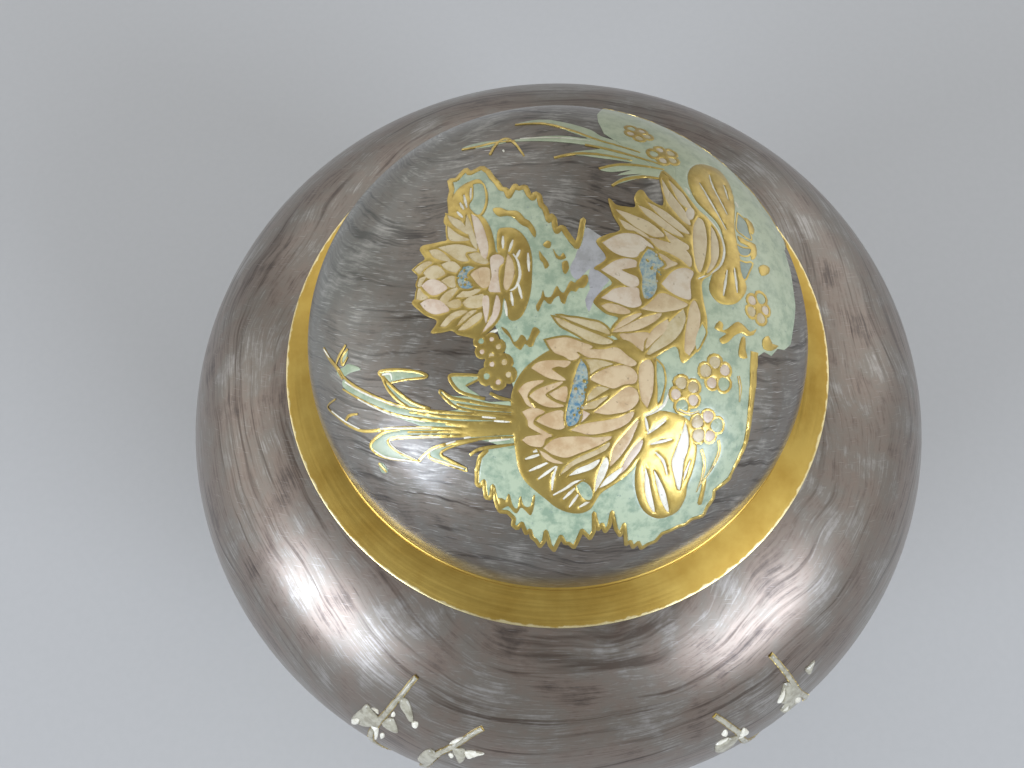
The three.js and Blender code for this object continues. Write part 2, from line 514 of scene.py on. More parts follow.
@dataclass(frozen=True)
class Cloisonne(Finish):
    """Stove enamel wiped into etched cells: a cloudy, softly shining colour with dark pits."""

    pale: str
    deep: str
    pit: str
    # Colour of the painted shade that darkens the enamel towards the lid's far side.
    painted_shade: str = "#8a896c"
    cloud_mm: float = 3.0
    pit_mm: float = 0.9
    skin_mm: float = 0.06
    # The way to the lid's far side, and where along that way the painted shade starts and is full.
    far: tuple[float, float, float] = (0.35, 0.5, 0.79)
    painted_shade_mm: tuple[float, float] = (150.0, 184.0)
    painted_shade_share: float = 0.66

    def paint(self, tree: NodeTree, place: Feed) -> dict:
        """Clouds of two tones, with pits where the wipe missed and a painted olive shade that darkens the
        lid's far side.

        Args:
            tree: shader tree.
            place: object coordinates in metres.

        Returns:
            Shader input to a constant or to what feeds it.
        """
        cloudy = {"Vector": place, "Scale": per_mm(self.cloud_mm), "Detail": 5.0, "Roughness": 0.65}
        clouds = add_node(tree, "ShaderNodeTexNoise", cloudy)
        missed = {"Vector": place, "Scale": per_mm(self.pit_mm), "Detail": 2.0}
        specks = add_node(tree, "ShaderNodeTexNoise", missed)
        pits = add_node(tree, "ShaderNodeMapRange", {"Value": specks, **span(0.68, 0.78)})
        # Painted shade: the enamel darkens towards olive on the far side and higher up.
        along = add_node(tree, "ShaderNodeVectorMath", {0: place, 1: self.far}, operation="DOT_PRODUCT")
        edges = (edge * MM for edge in self.painted_shade_mm)
        painted_shade = add_node(tree, "ShaderNodeMapRange", {"Value": along, **span(*edges, 0.0, self.painted_shade_share)})
        colour = ramp(tree, clouds, {0.38: self.deep, 0.56: self.pale})
        skin = {"Height": clouds, "Distance": self.skin_mm * MM, "Strength": 0.4}
        return {
            "Base Color": layered(tree, colour, ((pits, self.pit), (painted_shade, self.painted_shade))),
            "Normal": add_node(tree, "ShaderNodeBump", skin),
            "Roughness": 0.42,
            "Coat Weight": 0.6,
            "Coat Roughness": 0.25,
        }


@dataclass(frozen=True)
class EtchedGold(Finish):
    """Brass left standing by the etch and gilded: warm lines that catch the light on their rounded tops."""

    bright: str = "#c4ab5e"
    worn: str = "#a88e48"
    wear_mm: float = 4.0
    roughness: tuple[float, float] = (0.34, 0.48)

    def paint(self, tree: NodeTree, place: Feed) -> dict:
        """Small clouds of wear in the colour and the gloss, under a clear coat.

        Args:
            tree: shader tree.
            place: object coordinates in metres.

        Returns:
            Shader input to a constant or to what feeds it.
        """
        cloudy = {"Vector": place, "Scale": per_mm(self.wear_mm), "Detail": 5.0, "Roughness": 0.6}
        wear = add_node(tree, "ShaderNodeTexNoise", cloudy)
        gloss = {"Value": wear, **span(0.3, 0.7, *self.roughness[::-1])}
        return {
            "Base Color": ramp(tree, wear, {0.35: self.worn, 0.62: self.bright}),
            "Roughness": add_node(tree, "ShaderNodeMapRange", gloss),
            "Metallic": 1.0,
            "Coat Weight": 0.6,
            "Coat Roughness": 0.2,
        }


@dataclass(frozen=True)
class StudioPaper(Finish):
    """Matt grey backdrop paper with a faint tooth."""

    colour: str = "#b4b3b1"
    shade: str = "#b3b2b0"
    tooth_mm: float = 3.0

    def paint(self, tree: NodeTree, place: Feed) -> dict:
        """A hardly seen mottle on a matt face.

        Args:
            tree: shader tree.
            place: object coordinates in metres.

        Returns:
            Shader input to a constant or to what feeds it.
        """
        tooth = add_node(tree, "ShaderNodeTexNoise", {"Vector": place, "Scale": per_mm(self.tooth_mm)})
        return {
            "Base Color": ramp(tree, tooth, {0.4: self.shade, 0.6: self.colour}),
            "Roughness": 0.9,
            "Specular IOR Level": 0.2,
        }


# Turning


# A profile's corner is rounded where it turns by more than these degrees, over at most this share of a side.
SHARP_TURN = 25.0
ROUNDED_SHARE = 0.45


def heading(turn: float) -> Vector:
    """Returns the unit vector at a turn in radians."""
    return Vector((math.cos(turn), math.sin(turn)))


def bearing(degrees: float) -> Vector:
    """Returns the unit vector at an angle clockwise from straight ahead."""
    return Vector((math.sin(math.radians(degrees)), math.cos(math.radians(degrees))))


def right_of(along: Vector) -> Vector:
    """Returns a direction turned a quarter to the right."""
    return Vector((along.y, -along.x))


def square_section(inner: float, outer: float, low: float, high: float) -> Profile:
    """Returns the corners of a plain ring's section, from its inner foot outward."""
    return [(inner, low), (outer, low), (outer, high), (inner, high)]


def soften(profile: Profile, radius: float, steps: int = 4) -> Profile:
    """Rounds the sharp corners of a closed profile and leaves its curves alone.

    Args:
        profile: closed loop of (radius, height) points in millimetres.
        radius: how far from a corner the rounding starts.
        steps: points on each rounding.

    Returns:
        The loop with its corners rounded.
    """
    softened: Profile = []
    for i, here in enumerate(profile):
        corner = Vector(here)
        back = Vector(profile[i - 1]) - corner
        ahead = Vector(profile[(i + 1) % len(profile)]) - corner
        if math.pi - back.angle(ahead) < math.radians(SHARP_TURN):
            softened.append(here)
            continue
        reach = min(radius, ROUNDED_SHARE * back.length, ROUNDED_SHARE * ahead.length)
        start = corner + back.normalized() * reach
        end = corner + ahead.normalized() * reach
        for step in range(steps + 1):
            t = step / steps
            place = start * (1 - t) ** 2 + corner * (2 * t * (1 - t)) + end * t**2
            softened.append((place.x, place.y))
    return softened


def offset_line(line: Profile, distance: float) -> Profile:
    """Moves a line of points sideways.

    Args:
        line: points in order.
        distance: millimetres to the left of the direction of travel.

    Returns:
        The moved points.
    """
    moved: Profile = []
    for i, (radius, height) in enumerate(line):
        before = Vector(line[max(i - 1, 0)])
        after = Vector(line[min(i + 1, len(line) - 1)])
        along = (after - before).normalized()
        moved.append((radius - along.y * distance, height + along.x * distance))
    return moved


@dataclass
class Lathe:
    """Turns a profile about the jar's axis with Geometry Nodes."""

    steps: int = 256
    core: float = 1.0
    weld: float = 0.001

    def tree(self) -> NodeTree:
        """Makes the tree that sweeps a profile round a small circle and welds what meets on the axis.

        Returns:
            The tree, made on first use.
        """
        found = bpy.data.node_groups.get("turning")
        if found:
            return found
        tree, given = new_geometry_tree("turning", {"Steps": "Int", "Core Radius": "Float", "Weld": "Float"})
        section = add_node(tree, "GeometryNodeMeshToCurve", {"Mesh": given.outputs["Geometry"]})
        core = {"Resolution": given.outputs["Steps"], "Radius": given.outputs["Core Radius"]}
        circle = add_node(tree, "GeometryNodeCurvePrimitiveCircle", core)
        swept = add_node(tree, "GeometryNodeCurveToMesh", {"Curve": circle, "Profile Curve": section})
        seam = {"Geometry": swept, "Distance": given.outputs["Weld"]}
        end_geometry_tree(tree, add_node(tree, "GeometryNodeMergeByDistance", seam), given)
        return tree

    def turn(self, name: str, profile: Profile, finish: Finish, closed: bool = True) -> Object:
        """Turns one piece.

        Args:
            name: name of the piece.
            profile: (radius, height) points in millimetres.
            finish: finish of the whole piece.
            closed: whether the profile is a loop, or a line that starts and ends on the axis.

        Returns:
            The turned piece with its faces outward.
        """
        points = [((radius - self.core) * MM, -height * MM, 0.0) for radius, height in profile]
        edges = [(i, i + 1) for i in range(len(points) - 1)]
        if closed:
            edges.append((len(points) - 1, 0))
        section = bpy.data.meshes.new(name + "_section")
        section.from_pydata(points, edges, [])
        sizes = {"Steps": self.steps, "Core Radius": self.core * MM, "Weld": self.weld * MM}
        piece = bake_nodes(name, section, self.tree(), {**sizes, "Material": finish.material()})
        finish_mesh(piece.data)
        return piece


def finish_mesh(mesh: Mesh, crease: float = 30.0) -> None:
    """Points a closed mesh's faces outward and shades it smooth between creases.

    Args:
        mesh: mesh to finish.
        crease: angle in degrees past which an edge stays sharp.
    """
    work = bmesh.new()
    work.from_mesh(mesh)
    bmesh.ops.recalc_face_normals(work, faces=work.faces)
    work.to_mesh(mesh)
    work.free()
    mesh.shade_smooth()
    mesh.set_sharp_from_angle(angle=math.radians(crease))


def line_inside(piece: Object, centre_height: float, finish: Finish) -> None:
    """Gives the faces that look at a point on the axis another finish.

    Args:
        piece: turned shell.
        centre_height: height of the point in millimetres.
        finish: finish of the shell's inner face.
    """
    piece.data.materials.append(finish.material())
    centre = Vector((0, 0, centre_height * MM))
    for face in piece.data.polygons:
        if face.normal.dot(face.center - centre) < 0:
            face.material_index = 1


def place_piece(piece: Object, body: str, slot: str, *nodes: str) -> None:
    """Parents a finished piece to its body's empty, hides the solids it stands for, and reports it.

    Args:
        piece: finished object.
        body: body that it moves with.
        slot: the record's material slot; not used.
        nodes: solids that it stands for.
    """
    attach(piece, body)
    if nodes:
        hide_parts(*nodes)
    log.info("%s rides on %s, %d faces", piece.name, body, len(piece.data.polygons))


# Gives the eye a silky brown-grey sheen round the body, with white flares under the lamps.
LACQUER = PearlLacquer("pearl_lacquer_brushed")
# A duller, scratched sheen across the lid, with a silvery painted sheen on one flank.
LID_LACQUER = PearlLacquer(
    "pearl_lacquer_lid_painted_sheen",
    deep="#48443f",
    body="#716c65",
    pearl="#a8a39d",
    wisp="#a39b94",
    warm="#fff4ea",
    cool="#f6f6f2",
    brush=Brush.STRAIGHT,
    streak_mm=0.6,
    swirl_mm=30.0,
    drift_mm=3.4,
    curl_mm=5.0,
    curl_drift_mm=0.3,
    roughness=(0.46, 0.60),
    patch_mm=10.0,
    painted_sheen_share=0.3,
    metallic=0.85,
    coat=0.7,
    coat_roughness=0.2,
    scratched=0.55,
)
# Warm bare metal with fine rings, then the same with a pale edge that is partly worn and partly a painted
# highlight, then a dull brown inside.
BARE_BRASS = TurnedBrass("brass_polished")
BAND_BRASS = TurnedBrass("brass_polished_pale_glint_edge", pale_edge_from_mm=60.4)
DULL_BRASS = TurnedBrass("brass_as_spun", bright="#ab9560", tarnish="#857240", roughness=(0.42, 0.58))


@dataclass
class Pot:
    """The jar's body: two spun shells, a base, a foot, and the band and neck at its mouth. Millimetres."""

    belly_radius: float = 95.0
    belly_height: float = 108.0
    shoulder_rise: float = 62.4
    shoulder_power: float = 3.0
    wall: float = 1.2
    seam_lap: float = 8.0
    foot_radius: float = 52.0
    foot_height: float = 8.0
    foot_flare: float = 1.6
    foot_wall: float = 5.0
    flange: float = 9.0
    base_overlap: float = 4.0
    neck_radius: float = 49.5
    neck_wall: float = 1.5
    band_radius: float = 60.6
    band_thickness: float = 0.8
    solder: float = 0.2
    edge_round: float = 0.3
    ring_round: float = 0.6
    cove_low: float = 0.25
    cove_share: float = 0.5
    cove_power: float = 1.5
    cove_steps: int = 6
    shell_steps: int = 64
    bowl_steps: int = 48
    band_steps: int = 16
    chart_steps: int = 96
    frieze_middle: float = 8.2
    lathe: Lathe = field(default_factory=Lathe)

    def shoulder_line(self, start: float, end: float, steps: int) -> Profile:
        """Samples the shoulder's outer face.

        Args:
            start: first radius.
            end: last radius.
            steps: spans between them.

        Returns:
            Points along the superellipse, closer where it turns.
        """
        power = self.shoulder_power
        turns = [math.acos((radius / self.belly_radius) ** (power / 2)) for radius in (start, end)]
        line: Profile = []
        for i in range(steps + 1):
            turn = turns[0] + (turns[1] - turns[0]) * i / steps
            radius = self.belly_radius * max(math.cos(turn), 0.0) ** (2 / power)
            line.append((radius, self.belly_height + self.shoulder_rise * math.sin(turn) ** (2 / power)))
        return line

    def bowl_line(self, steps: int) -> Profile:
        """Samples the bowl's outer face.

        Args:
            steps: spans on it.

        Returns:
            Points from the belly down to the foot.
        """
        depth = self.belly_height - self.foot_height
        taper = self.belly_radius - self.foot_radius
        shares = [i / steps for i in range(steps + 1)]
        return [(self.belly_radius - taper * s**2, self.belly_height - depth * s) for s in shares]

    def outer_line(self) -> Profile:
        """Samples the body's outer face.

        Returns:
            Points from the mouth down to the foot.
        """
        mouth = self.neck_radius + self.solder
        shoulder = self.shoulder_line(mouth, self.belly_radius, self.chart_steps)
        return shoulder + self.bowl_line(self.bowl_steps)[1:]

    def build_shells(self) -> None:
        """Turns the two lacquered shells with their bare insides."""
        mouth = self.neck_radius + self.solder
        outer = self.shoulder_line(self.belly_radius, mouth, self.shell_steps)
        inner = offset_line(outer, self.wall)
        inner[0] = (self.belly_radius - self.wall, self.belly_height)
        inner[-1] = (mouth, inner[-1][1])
        shoulder = self.lathe.turn("shoulder_shell", outer + inner[::-1], LACQUER)
        line_inside(shoulder, self.belly_height, DULL_BRASS)
        place_piece(shoulder, "pot", "pearl_lacquer", "body_shoulder_shell")

        outer = self.bowl_line(self.bowl_steps)
        inner = offset_line(outer, -self.wall)[1:]
        flange_top = self.foot_height + self.wall
        inner = [place for place in inner if place[1] > flange_top]
        lip = self.shoulder_line(self.belly_radius, self.belly_radius * 0.9, self.shell_steps)
        lip_top = self.belly_height + self.seam_lap
        lip_radius = next(r for r, z in lip if z >= lip_top) - self.wall - 2 * self.solder
        flange_inner = self.foot_radius - self.flange
        loop = [
            *outer,
            (flange_inner, self.foot_height),
            (flange_inner, flange_top),
            *inner[::-1],
            (lip_radius - self.wall, self.belly_height - self.wall),
            (lip_radius - self.wall, lip_top),
            (lip_radius, lip_top),
            (lip_radius, self.belly_height),
        ]
        bowl = self.lathe.turn("bowl_shell", loop, LACQUER)
        line_inside(bowl, self.belly_height * 0.6, DULL_BRASS)
        place_piece(bowl, "pot", "pearl_lacquer", "body_bowl_shell")

    def build_foot(self) -> None:
        """Turns the flared foot ring and the plate that closes the bottom."""
        top = self.foot_height - self.solder
        inner = self.foot_radius - self.foot_wall
        neck = self.foot_radius - self.foot_flare / 4
        foot = self.foot_radius + self.foot_flare
        cove: Profile = []
        for t in range(self.cove_steps + 1):
            hollow = (1 - math.sin(t * math.pi / (2 * self.cove_steps))) ** self.cove_power
            height = top * (self.cove_low + self.cove_share * t / self.cove_steps)
            cove.append((neck + (foot - neck) * hollow, height))
        shoulder = self.foot_radius - self.foot_flare / 2
        loop = [(inner, 0.0), (foot, 0.0), *cove, (shoulder, top), (inner, top)]
        ring = self.lathe.turn("foot_ring_turned", soften(loop, self.ring_round), BARE_BRASS)
        place_piece(ring, "pot", "bare_brass", "foot_ring")
        bottom = self.foot_height + self.wall + self.solder
        rim = self.foot_radius - self.flange + self.base_overlap
        disc = square_section(0.0, rim, bottom, bottom + self.wall)
        plate = self.lathe.turn("base_disc", disc, DULL_BRASS, closed=False)
        place_piece(plate, "pot", "dull_brass", "base_plate")

    def build_mouth(self) -> None:
        """Turns the bare band on the shoulder and the upright neck."""
        mouth = self.neck_radius + self.solder
        seat = self.shoulder_line(self.band_radius, mouth, self.band_steps)
        lower = offset_line(seat, -self.solder)
        upper = offset_line(seat, -self.solder - self.band_thickness)
        lower[-1] = (mouth, lower[-1][1])
        upper[-1] = (mouth, upper[-1][1])
        band = self.lathe.turn("mouth_band", soften(lower[::-1] + upper, self.edge_round), BAND_BRASS)
        place_piece(band, "pot", "bare_brass", "shoulder_band")
        low, high = (corner.z / MM for corner in map(Vector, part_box("neck_collar")))
        inner = self.neck_radius - self.neck_wall
        ring = square_section(inner, self.neck_radius, low, high)
        neck = self.lathe.turn("neck_ring", soften(ring, self.ring_round), BARE_BRASS)
        place_piece(neck, "pot", "bare_brass", "neck_collar")

    def build(self) -> None:
        """Builds the whole body."""
        self.build_shells()
        self.build_foot()
        self.build_mouth()


@dataclass
class Lid:
    """The cap: a spun dome with a short skirt, a guide ring inside it and a bead round it. Millimetres."""

    radius: float = 53.2
    rim_height: float = 168.06
    skirt: float = 4.3
    dome_rise: float = 34.5
    dome_power: float = 2.2
    wall: float = 1.0
    bezel_inner: float = 50.0
    bezel_outer: float = 52.0
    bezel_round: float = 0.4
    chamfer: float = 0.25
    bead: float = 0.62
    bead_inset: float = 0.1
    bead_gap: float = 0.03
    bead_steps: int = 16
    outer_steps: int = 96
    inner_steps: int = 64
    chart_steps: int = 200
    lathe: Lathe = field(default_factory=Lathe)

    def dome_line(self, inset: float, steps: int) -> Profile:
        """Samples a face of the dome from the axis to its skirt.

        Args:
            inset: distance in from the outer face.
            steps: spans on the dome.

        Returns:
            Points along the superellipse.
        """
        base = self.rim_height + self.skirt
        power = self.dome_power
        line: Profile = []
        for i in range(steps + 1):
            turn = math.pi / 2 * i / steps
            radius = (self.radius - inset) * math.sin(turn) ** (2 / power)
            line.append((radius, base + (self.dome_rise - inset) * max(math.cos(turn), 0.0) ** (2 / power)))
        return line

    def build_shell(self) -> None:
        """Turns the dome and its guide ring."""
        rim = [(self.radius, self.rim_height + self.chamfer), (self.radius - self.chamfer, self.rim_height)]
        outer = [*self.dome_line(0.0, self.outer_steps), *rim]
        inner = self.dome_line(self.wall, self.inner_steps)
        inner.append((self.radius - self.wall, self.rim_height))
        dome = self.lathe.turn("lid_cap", outer + inner[::-1], LID_LACQUER, closed=False)
        line_inside(dome, self.rim_height, DULL_BRASS)
        place_piece(dome, "lid", "pearl_lacquer", "lid_dome")
        low, high = (corner.z / MM for corner in map(Vector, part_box("lid_bezel")))
        ring = square_section(self.bezel_inner, self.bezel_outer, low, high)
        bezel = self.lathe.turn("lid_guide_ring", soften(ring, self.bezel_round), DULL_BRASS)
        place_piece(bezel, "lid", "dull_brass", "lid_bezel")

    def build_bead(self) -> None:
        """Turns the bare bead round the foot of the skirt, which shines as a thin line above the band."""
        middle = Vector((self.radius - self.bead_inset, self.rim_height + self.bead + self.bead_gap))
        turns = (math.tau * i / self.bead_steps for i in range(self.bead_steps))
        section = [tuple(middle + heading(turn) * self.bead) for turn in turns]
        place_piece(self.lathe.turn("lid_rim_bead", section, BARE_BRASS), "lid", "bare_brass")

    def build(self) -> None:
        """Builds the whole lid."""
        self.build_shell()
        self.build_bead()


# Camera


@dataclass
class PhotoCamera:
    """The photograph's camera, fitted to the jar's outlines. Millimetres, degrees and pixels."""

    width: int = 1024
    height: int = 768
    focal: float = 900.0
    distance: float = 257.5
    elevation: float = 73.009
    roll: float = -1.835
    aim_height: float = 108.0
    aim_pixel: Pixel = (553.499, 422.669)

    def place(self) -> Vector:
        """Returns where the camera stands, in millimetres."""
        tilt = math.radians(self.elevation)
        return Vector((0, -self.distance * math.cos(tilt), self.aim_height + self.distance * math.sin(tilt)))

    def turned(self) -> Matrix:
        """Works out how the camera is turned.

        Returns:
            The rotation from its axes to the jar's.
        """
        tilt = math.radians(self.elevation)
        rise, run = math.sin(tilt), math.cos(tilt)
        level = Matrix(((1, 0, 0), (0, rise, run), (0, -run, rise)))
        across, down = self.aim_pixel
        off_axis = Vector((across - self.width / 2, self.height / 2 - down, -self.focal))
        swing = Vector((0, 0, -1)).rotation_difference(off_axis).to_matrix()
        return (Matrix.Rotation(math.radians(self.roll), 3, "Z") @ swing @ level).transposed()

    def ray(self, pixel: Pixel) -> Vector:
        """Looks through a pixel.

        Args:
            pixel: place in the photograph.

        Returns:
            The unit direction of its line of sight.
        """
        across = (pixel[0] - self.width / 2) / self.focal
        down = (pixel[1] - self.height / 2) / self.focal
        return (self.turned() @ Vector((across, -down, -1))).normalized()

    def build(self) -> None:
        """Puts the camera in the scene."""
        data = bpy.data.cameras.new("photo_camera")
        data.sensor_width = 36.0
        data.lens = self.focal * data.sensor_width / self.width
        data.clip_start = 0.01
        camera = link_object("photo_camera", data)
        camera.matrix_world = Matrix.Translation(self.place() * MM) @ self.turned().to_4x4()
        bpy.context.scene.camera = camera


# Ornament


class Tone(Enum):
    """Fillings of the raised ornament."""

    GOLD = "gold"
    JADE = "jade"
    PEACH = "peach"
    BLUSH = "blush"
    SAND = "sand"
    REED = "reed"
    PEARL = "pearl"
    LAPIS = "lapis"
    LILAC = "lilac"
    TEAL = "teal"
    HUSK = "husk"

    @property
    def slot(self) -> str:
        """Returns the record's material slot that the filling belongs to."""
        return "bare_brass" if self is Tone.GOLD else "pearl_lacquer"


# Gold glints along its lines, and the enamels lie between them as soft clouds of colour.
FILLINGS: dict[Tone, Finish] = {
    Tone.GOLD: EtchedGold("brass_etched_gilt"),
    Tone.JADE: Cloisonne("enamel_jade", pale="#adba9d", deep="#879b82", pit="#76887e", cloud_mm=2.6),
    Tone.PEACH: Cloisonne("enamel_peach", pale="#cdb48c", deep="#bb9c72", pit="#937a58"),
    Tone.BLUSH: Cloisonne("enamel_blush", pale="#d2c0aa", deep="#c3a98f", pit="#a08a74"),
    Tone.SAND: Cloisonne("enamel_sand", pale="#c6b48c", deep="#b39c6a", pit="#8f7a4c"),
    Tone.REED: Cloisonne("enamel_reed", pale="#a6b292", deep="#8a9c7c", pit="#75856a"),
    Tone.PEARL: Cloisonne("enamel_pearl", pale="#eae6d6", deep="#d0c9b4", pit="#a8a290"),
    Tone.LAPIS: Cloisonne("enamel_lapis", pale="#9ca699", deep="#47758e", pit="#b39a4a", cloud_mm=0.9),
    Tone.LILAC: Cloisonne("enamel_lilac", pale="#a5a3a9", deep="#8d8b90", pit="#76747a"),
    Tone.TEAL: Cloisonne("enamel_teal", pale="#748d88", deep="#5b736e", pit="#4b5f5b"),
    Tone.HUSK: Cloisonne("enamel_husk", pale="#aca793", deep="#8a8470", pit="#74705e", cloud_mm=2.0),
}


# How often a search for a point on a face is halved, and a length that counts as none.
HALVINGS = 12
TINY = 1e-6


@dataclass
class Section:
    """A turned face's section, from the axis outward and down, measured along its length in millimetres."""

    points: Profile
    marks: list[float] = field(default_factory=list)
    normals: list[Vector] = field(default_factory=list)
    radii: list[float] = field(default_factory=list)

    def __post_init__(self) -> None:
        """Measures the section and finds its outward normals."""
        self.marks.append(0.0)
        self.radii.extend(radius for radius, _ in self.points)
        for here, there in zip(self.points, self.points[1:]):
            self.marks.append(self.marks[-1] + math.dist(here, there))
        for i in range(len(self.points)):
            before = Vector(self.points[max(i - 1, 0)])
            along = (Vector(self.points[min(i + 1, len(self.points) - 1)]) - before).normalized()
            self.normals.append(Vector((-along.y, along.x)))

    def at(self, distance: float) -> tuple[Vector, Vector]:
        """Finds a place on the section.

        Args:
            distance: millimetres along it.

        Returns:
            The (radius, height) point and its outward normal.
        """
        i = min(max(bisect.bisect_right(self.marks, distance) - 1, 0), len(self.points) - 2)
        share = (distance - self.marks[i]) / (self.marks[i + 1] - self.marks[i])
        point = Vector(self.points[i]).lerp(Vector(self.points[i + 1]), share)
        return point, self.normals[i].lerp(self.normals[i + 1], min(max(share, 0.0), 1.0)).normalized()

    def distance(self, height: float) -> float:
        """Measures how far along the section a height lies.

        Args:
            height: height in millimetres.

        Returns:
            Millimetres along the section.
        """
        i = next((k for k, (_, z) in enumerate(self.points) if z <= height), len(self.points) - 1)
        i = max(i, 1)
        above, below = self.points[i - 1][1], self.points[i][1]
        share = (above - height) / (above - below) if above > below else 0.0
        return self.marks[i - 1] + share * (self.marks[i] - self.marks[i - 1])

    def height(self, radius: float) -> float | None:
        """Finds the face's height at a radius.

        Args:
            radius: millimetres from the axis.

        Returns:
            The height, or None outside the face.
        """
        i = bisect.bisect_right(self.radii, radius)
        if i == len(self.points):
            return None
        (r0, z0), (r1, z1) = self.points[i - 1], self.points[i]
        return z0 + (z1 - z0) * (radius - r0) / (r1 - r0)

    def buried(self, place: Vector) -> bool:
        """Tells whether a point lies under the face."""
        level = self.height(math.hypot(place.x, place.y))
        return level is not None and place.z <= level

    def struck(self, origin: Vector, way: Vector, lead: float = 2.0, step: float = 0.5) -> Vector:
        """Finds where a line of sight meets the face.

        Args:
            origin: start of the line, in millimetres.
            way: its unit direction.
            lead: how far before the top the search starts.
            step: length of one look ahead.

        Returns:
            The first point under the face, in millimetres.
        """
        travelled = (self.points[0][1] - origin.z) / way.z - lead
        lowest = self.points[-1][1]
        while True:
            place = origin + way * travelled
            if place.z < lowest:
                raise ValueError(f"a line of sight along {way} misses the face")
            if self.buried(place):
                break
            travelled += step
        near, far = travelled - step, travelled
        for _ in range(HALVINGS):
            middle = (near + far) / 2
            if self.buried(origin + way * middle):
                far = middle
            else:
                near = middle
        return origin + way * far


class Sheet:
    """A flat drawing in millimetres that is laid on a turned face."""

    def lay(self, flat: Vector, lift: float) -> Vector:
        """Returns where a point of the drawing lies on the jar, in metres."""
        raise NotImplementedError

    def trace(self, pixel: Pixel) -> Vector:
        """Returns the point of the drawing that a pixel of the photograph shows."""
        raise NotImplementedError

    def trace_all(self, pixels: Outline) -> list[Vector]:
        """Traces a line of pixels point by point."""
        return [self.trace(pixel) for pixel in zip(pixels[::2], pixels[1::2])]

    def curve(self, pixels: Outline, spans: int, closed: bool = True) -> list[Vector]:
        """Traces a line of pixels and draws a smooth curve through them."""
        return curve_through(self.trace_all(pixels), spans, closed)


@dataclass
class DomeSheet(Sheet):
    """A drawing spread over the dome from its middle, seen from above, and traced through the camera."""

    section: Section
    camera: PhotoCamera

    def lay(self, flat: Vector, lift: float) -> Vector:
        """Lays a point of the drawing on the dome.

        Args:
            flat: point of the drawing.
            lift: height over the face in millimetres.

        Returns:
            Its place on the jar, in metres.
        """
        distance = max(flat.length, TINY)
        point, normal = self.section.at(distance)
        raised = point + normal * lift
        return Vector((flat.x / distance * raised.x, flat.y / distance * raised.x, raised.y)) * MM

    def spot(self, degrees: float, reach: float) -> Vector:
        """Returns the point of the drawing at an angle from the far side and a distance from the middle."""
        return bearing(degrees) * reach

    def trace(self, pixel: Pixel) -> Vector:
        """Follows a line of sight to the dome.

        Args:
            pixel: place in the photograph.

        Returns:
            The point of the drawing that it shows.
        """
        place = self.section.struck(self.camera.place(), self.camera.ray(pixel))
        radius = math.hypot(place.x, place.y)
        distance = self.section.distance(place.z)
        return Vector((place.x, place.y)) * (distance / max(radius, TINY))


@dataclass
class BellySheet(Sheet):
    """A drawing wrapped round the belly, with its middle at an angle from the front."""

    section: Section
    shoulder: Section
    radius: float
    middle: float
    camera: PhotoCamera

    def lay(self, flat: Vector, lift: float) -> Vector:
        """Lays a point of the drawing on the belly.

        Args:
            flat: point of the drawing.
            lift: height over the face in millimetres.

        Returns:
            Its place on the jar, in metres.
        """
        point, normal = self.section.at(-flat.y)
        raised = point + normal * lift
        turn = math.radians(self.middle) + flat.x / self.radius
        return Vector((math.sin(turn) * raised.x, -math.cos(turn) * raised.x, raised.y)) * MM

    def spot(self, degrees: float, height: float) -> Vector:
        """Returns the point of the drawing at an angle from its middle and a height."""
        return Vector((math.radians(degrees) * self.radius, -self.section.distance(height)))

    def path(self, spots: Sequence[tuple[float, float]], spans: int) -> list[Vector]:
        """Draws a smooth open line through spots, each as an angle from the middle and a height."""
        return curve_through([self.spot(*spot) for spot in spots], spans, closed=False)

    def trace(self, pixel: Pixel) -> Vector:
        """Returns the point of the drawing that a pixel of the photograph shows."""
        place = self.shoulder.struck(self.camera.place(), self.camera.ray(pixel))
        return self.spot(math.degrees(math.atan2(place.x, -place.y)) - self.middle, place.z)


def curve_through(points: Sequence[Vector], spans: int = 5, closed: bool = True) -> list[Vector]:
    """Draws a smooth curve through points.

    Args:
        points: points in order.
        spans: steps between two points.
        closed: whether the curve returns to its start.

    Returns:
        Points along a curve that meets each of them.
    """
    count = len(points)
    drawn: list[Vector] = []
    for i in range(count if closed else count - 1):
        if closed:
            a, b, c, d = (points[(i + k) % count] for k in (-1, 0, 1, 2))
        else:
            a, b, c, d = (points[min(max(i + k, 0), count - 1)] for k in (-1, 0, 1, 2))
        for step in range(spans):
            t = step / spans
            bent = (a * 2 - b * 5 + c * 4 - d) * t**2
            drawn.append((b * 2 + (c - a) * t + bent + (b * 3 - a - c * 3 + d) * t**3) / 2)
    if not closed:
        drawn.append(points[-1].copy())
    return drawn


# A blade's width along it: the powers that it swells and narrows with, and what makes its widest place 1.
SWELL_POWER = 0.42
NARROW_POWER = 0.8
FULL_WIDTH = 2.19
# What a line around a blade adds to its length, over the line's width.
LINE_LENGTH = 2.4


def blade(
    root: Vector, tip: Vector, half: float, bend: float = 0.0, grow: float = 0.0, steps: int = 9
) -> list[Vector]:
    """Draws a petal or leaf.

    Args:
        root: where it grows from.
        tip: its point.
        half: half its width.
        bend: bulge of its axis to the right, over its length.
        grow: width of a line drawn around it.
        steps: spans along each side.

    Returns:
        Its outline.
    """
    way = tip - root
    length = way.length
    along = way / length
    right = right_of(along)
    start = root - along * grow
    reach = length + grow * LINE_LENGTH
    sides: tuple[list[Vector], list[Vector]] = ([], [])
    for i in range(steps + 1):
        share = (1 - math.cos(math.pi * i / steps)) / 2
        axis = start + along * (reach * share) + right * (4 * share * (1 - share) * bend * length)
        width = (half + grow) * FULL_WIDTH * share**SWELL_POWER * (1 - share) ** NARROW_POWER
        for side, sign in zip(sides, (1, -1)):
            side.append(axis + right * (sign * width))
    return sides[0] + sides[1][-2:0:-1]


def pointed(points: Sequence[Vector], spans: int = 4) -> list[Vector]:
    """Draws a closed curve through points that stays sharp at the first one."""
    return curve_through([*points, points[0]], spans, closed=False)[:-1]


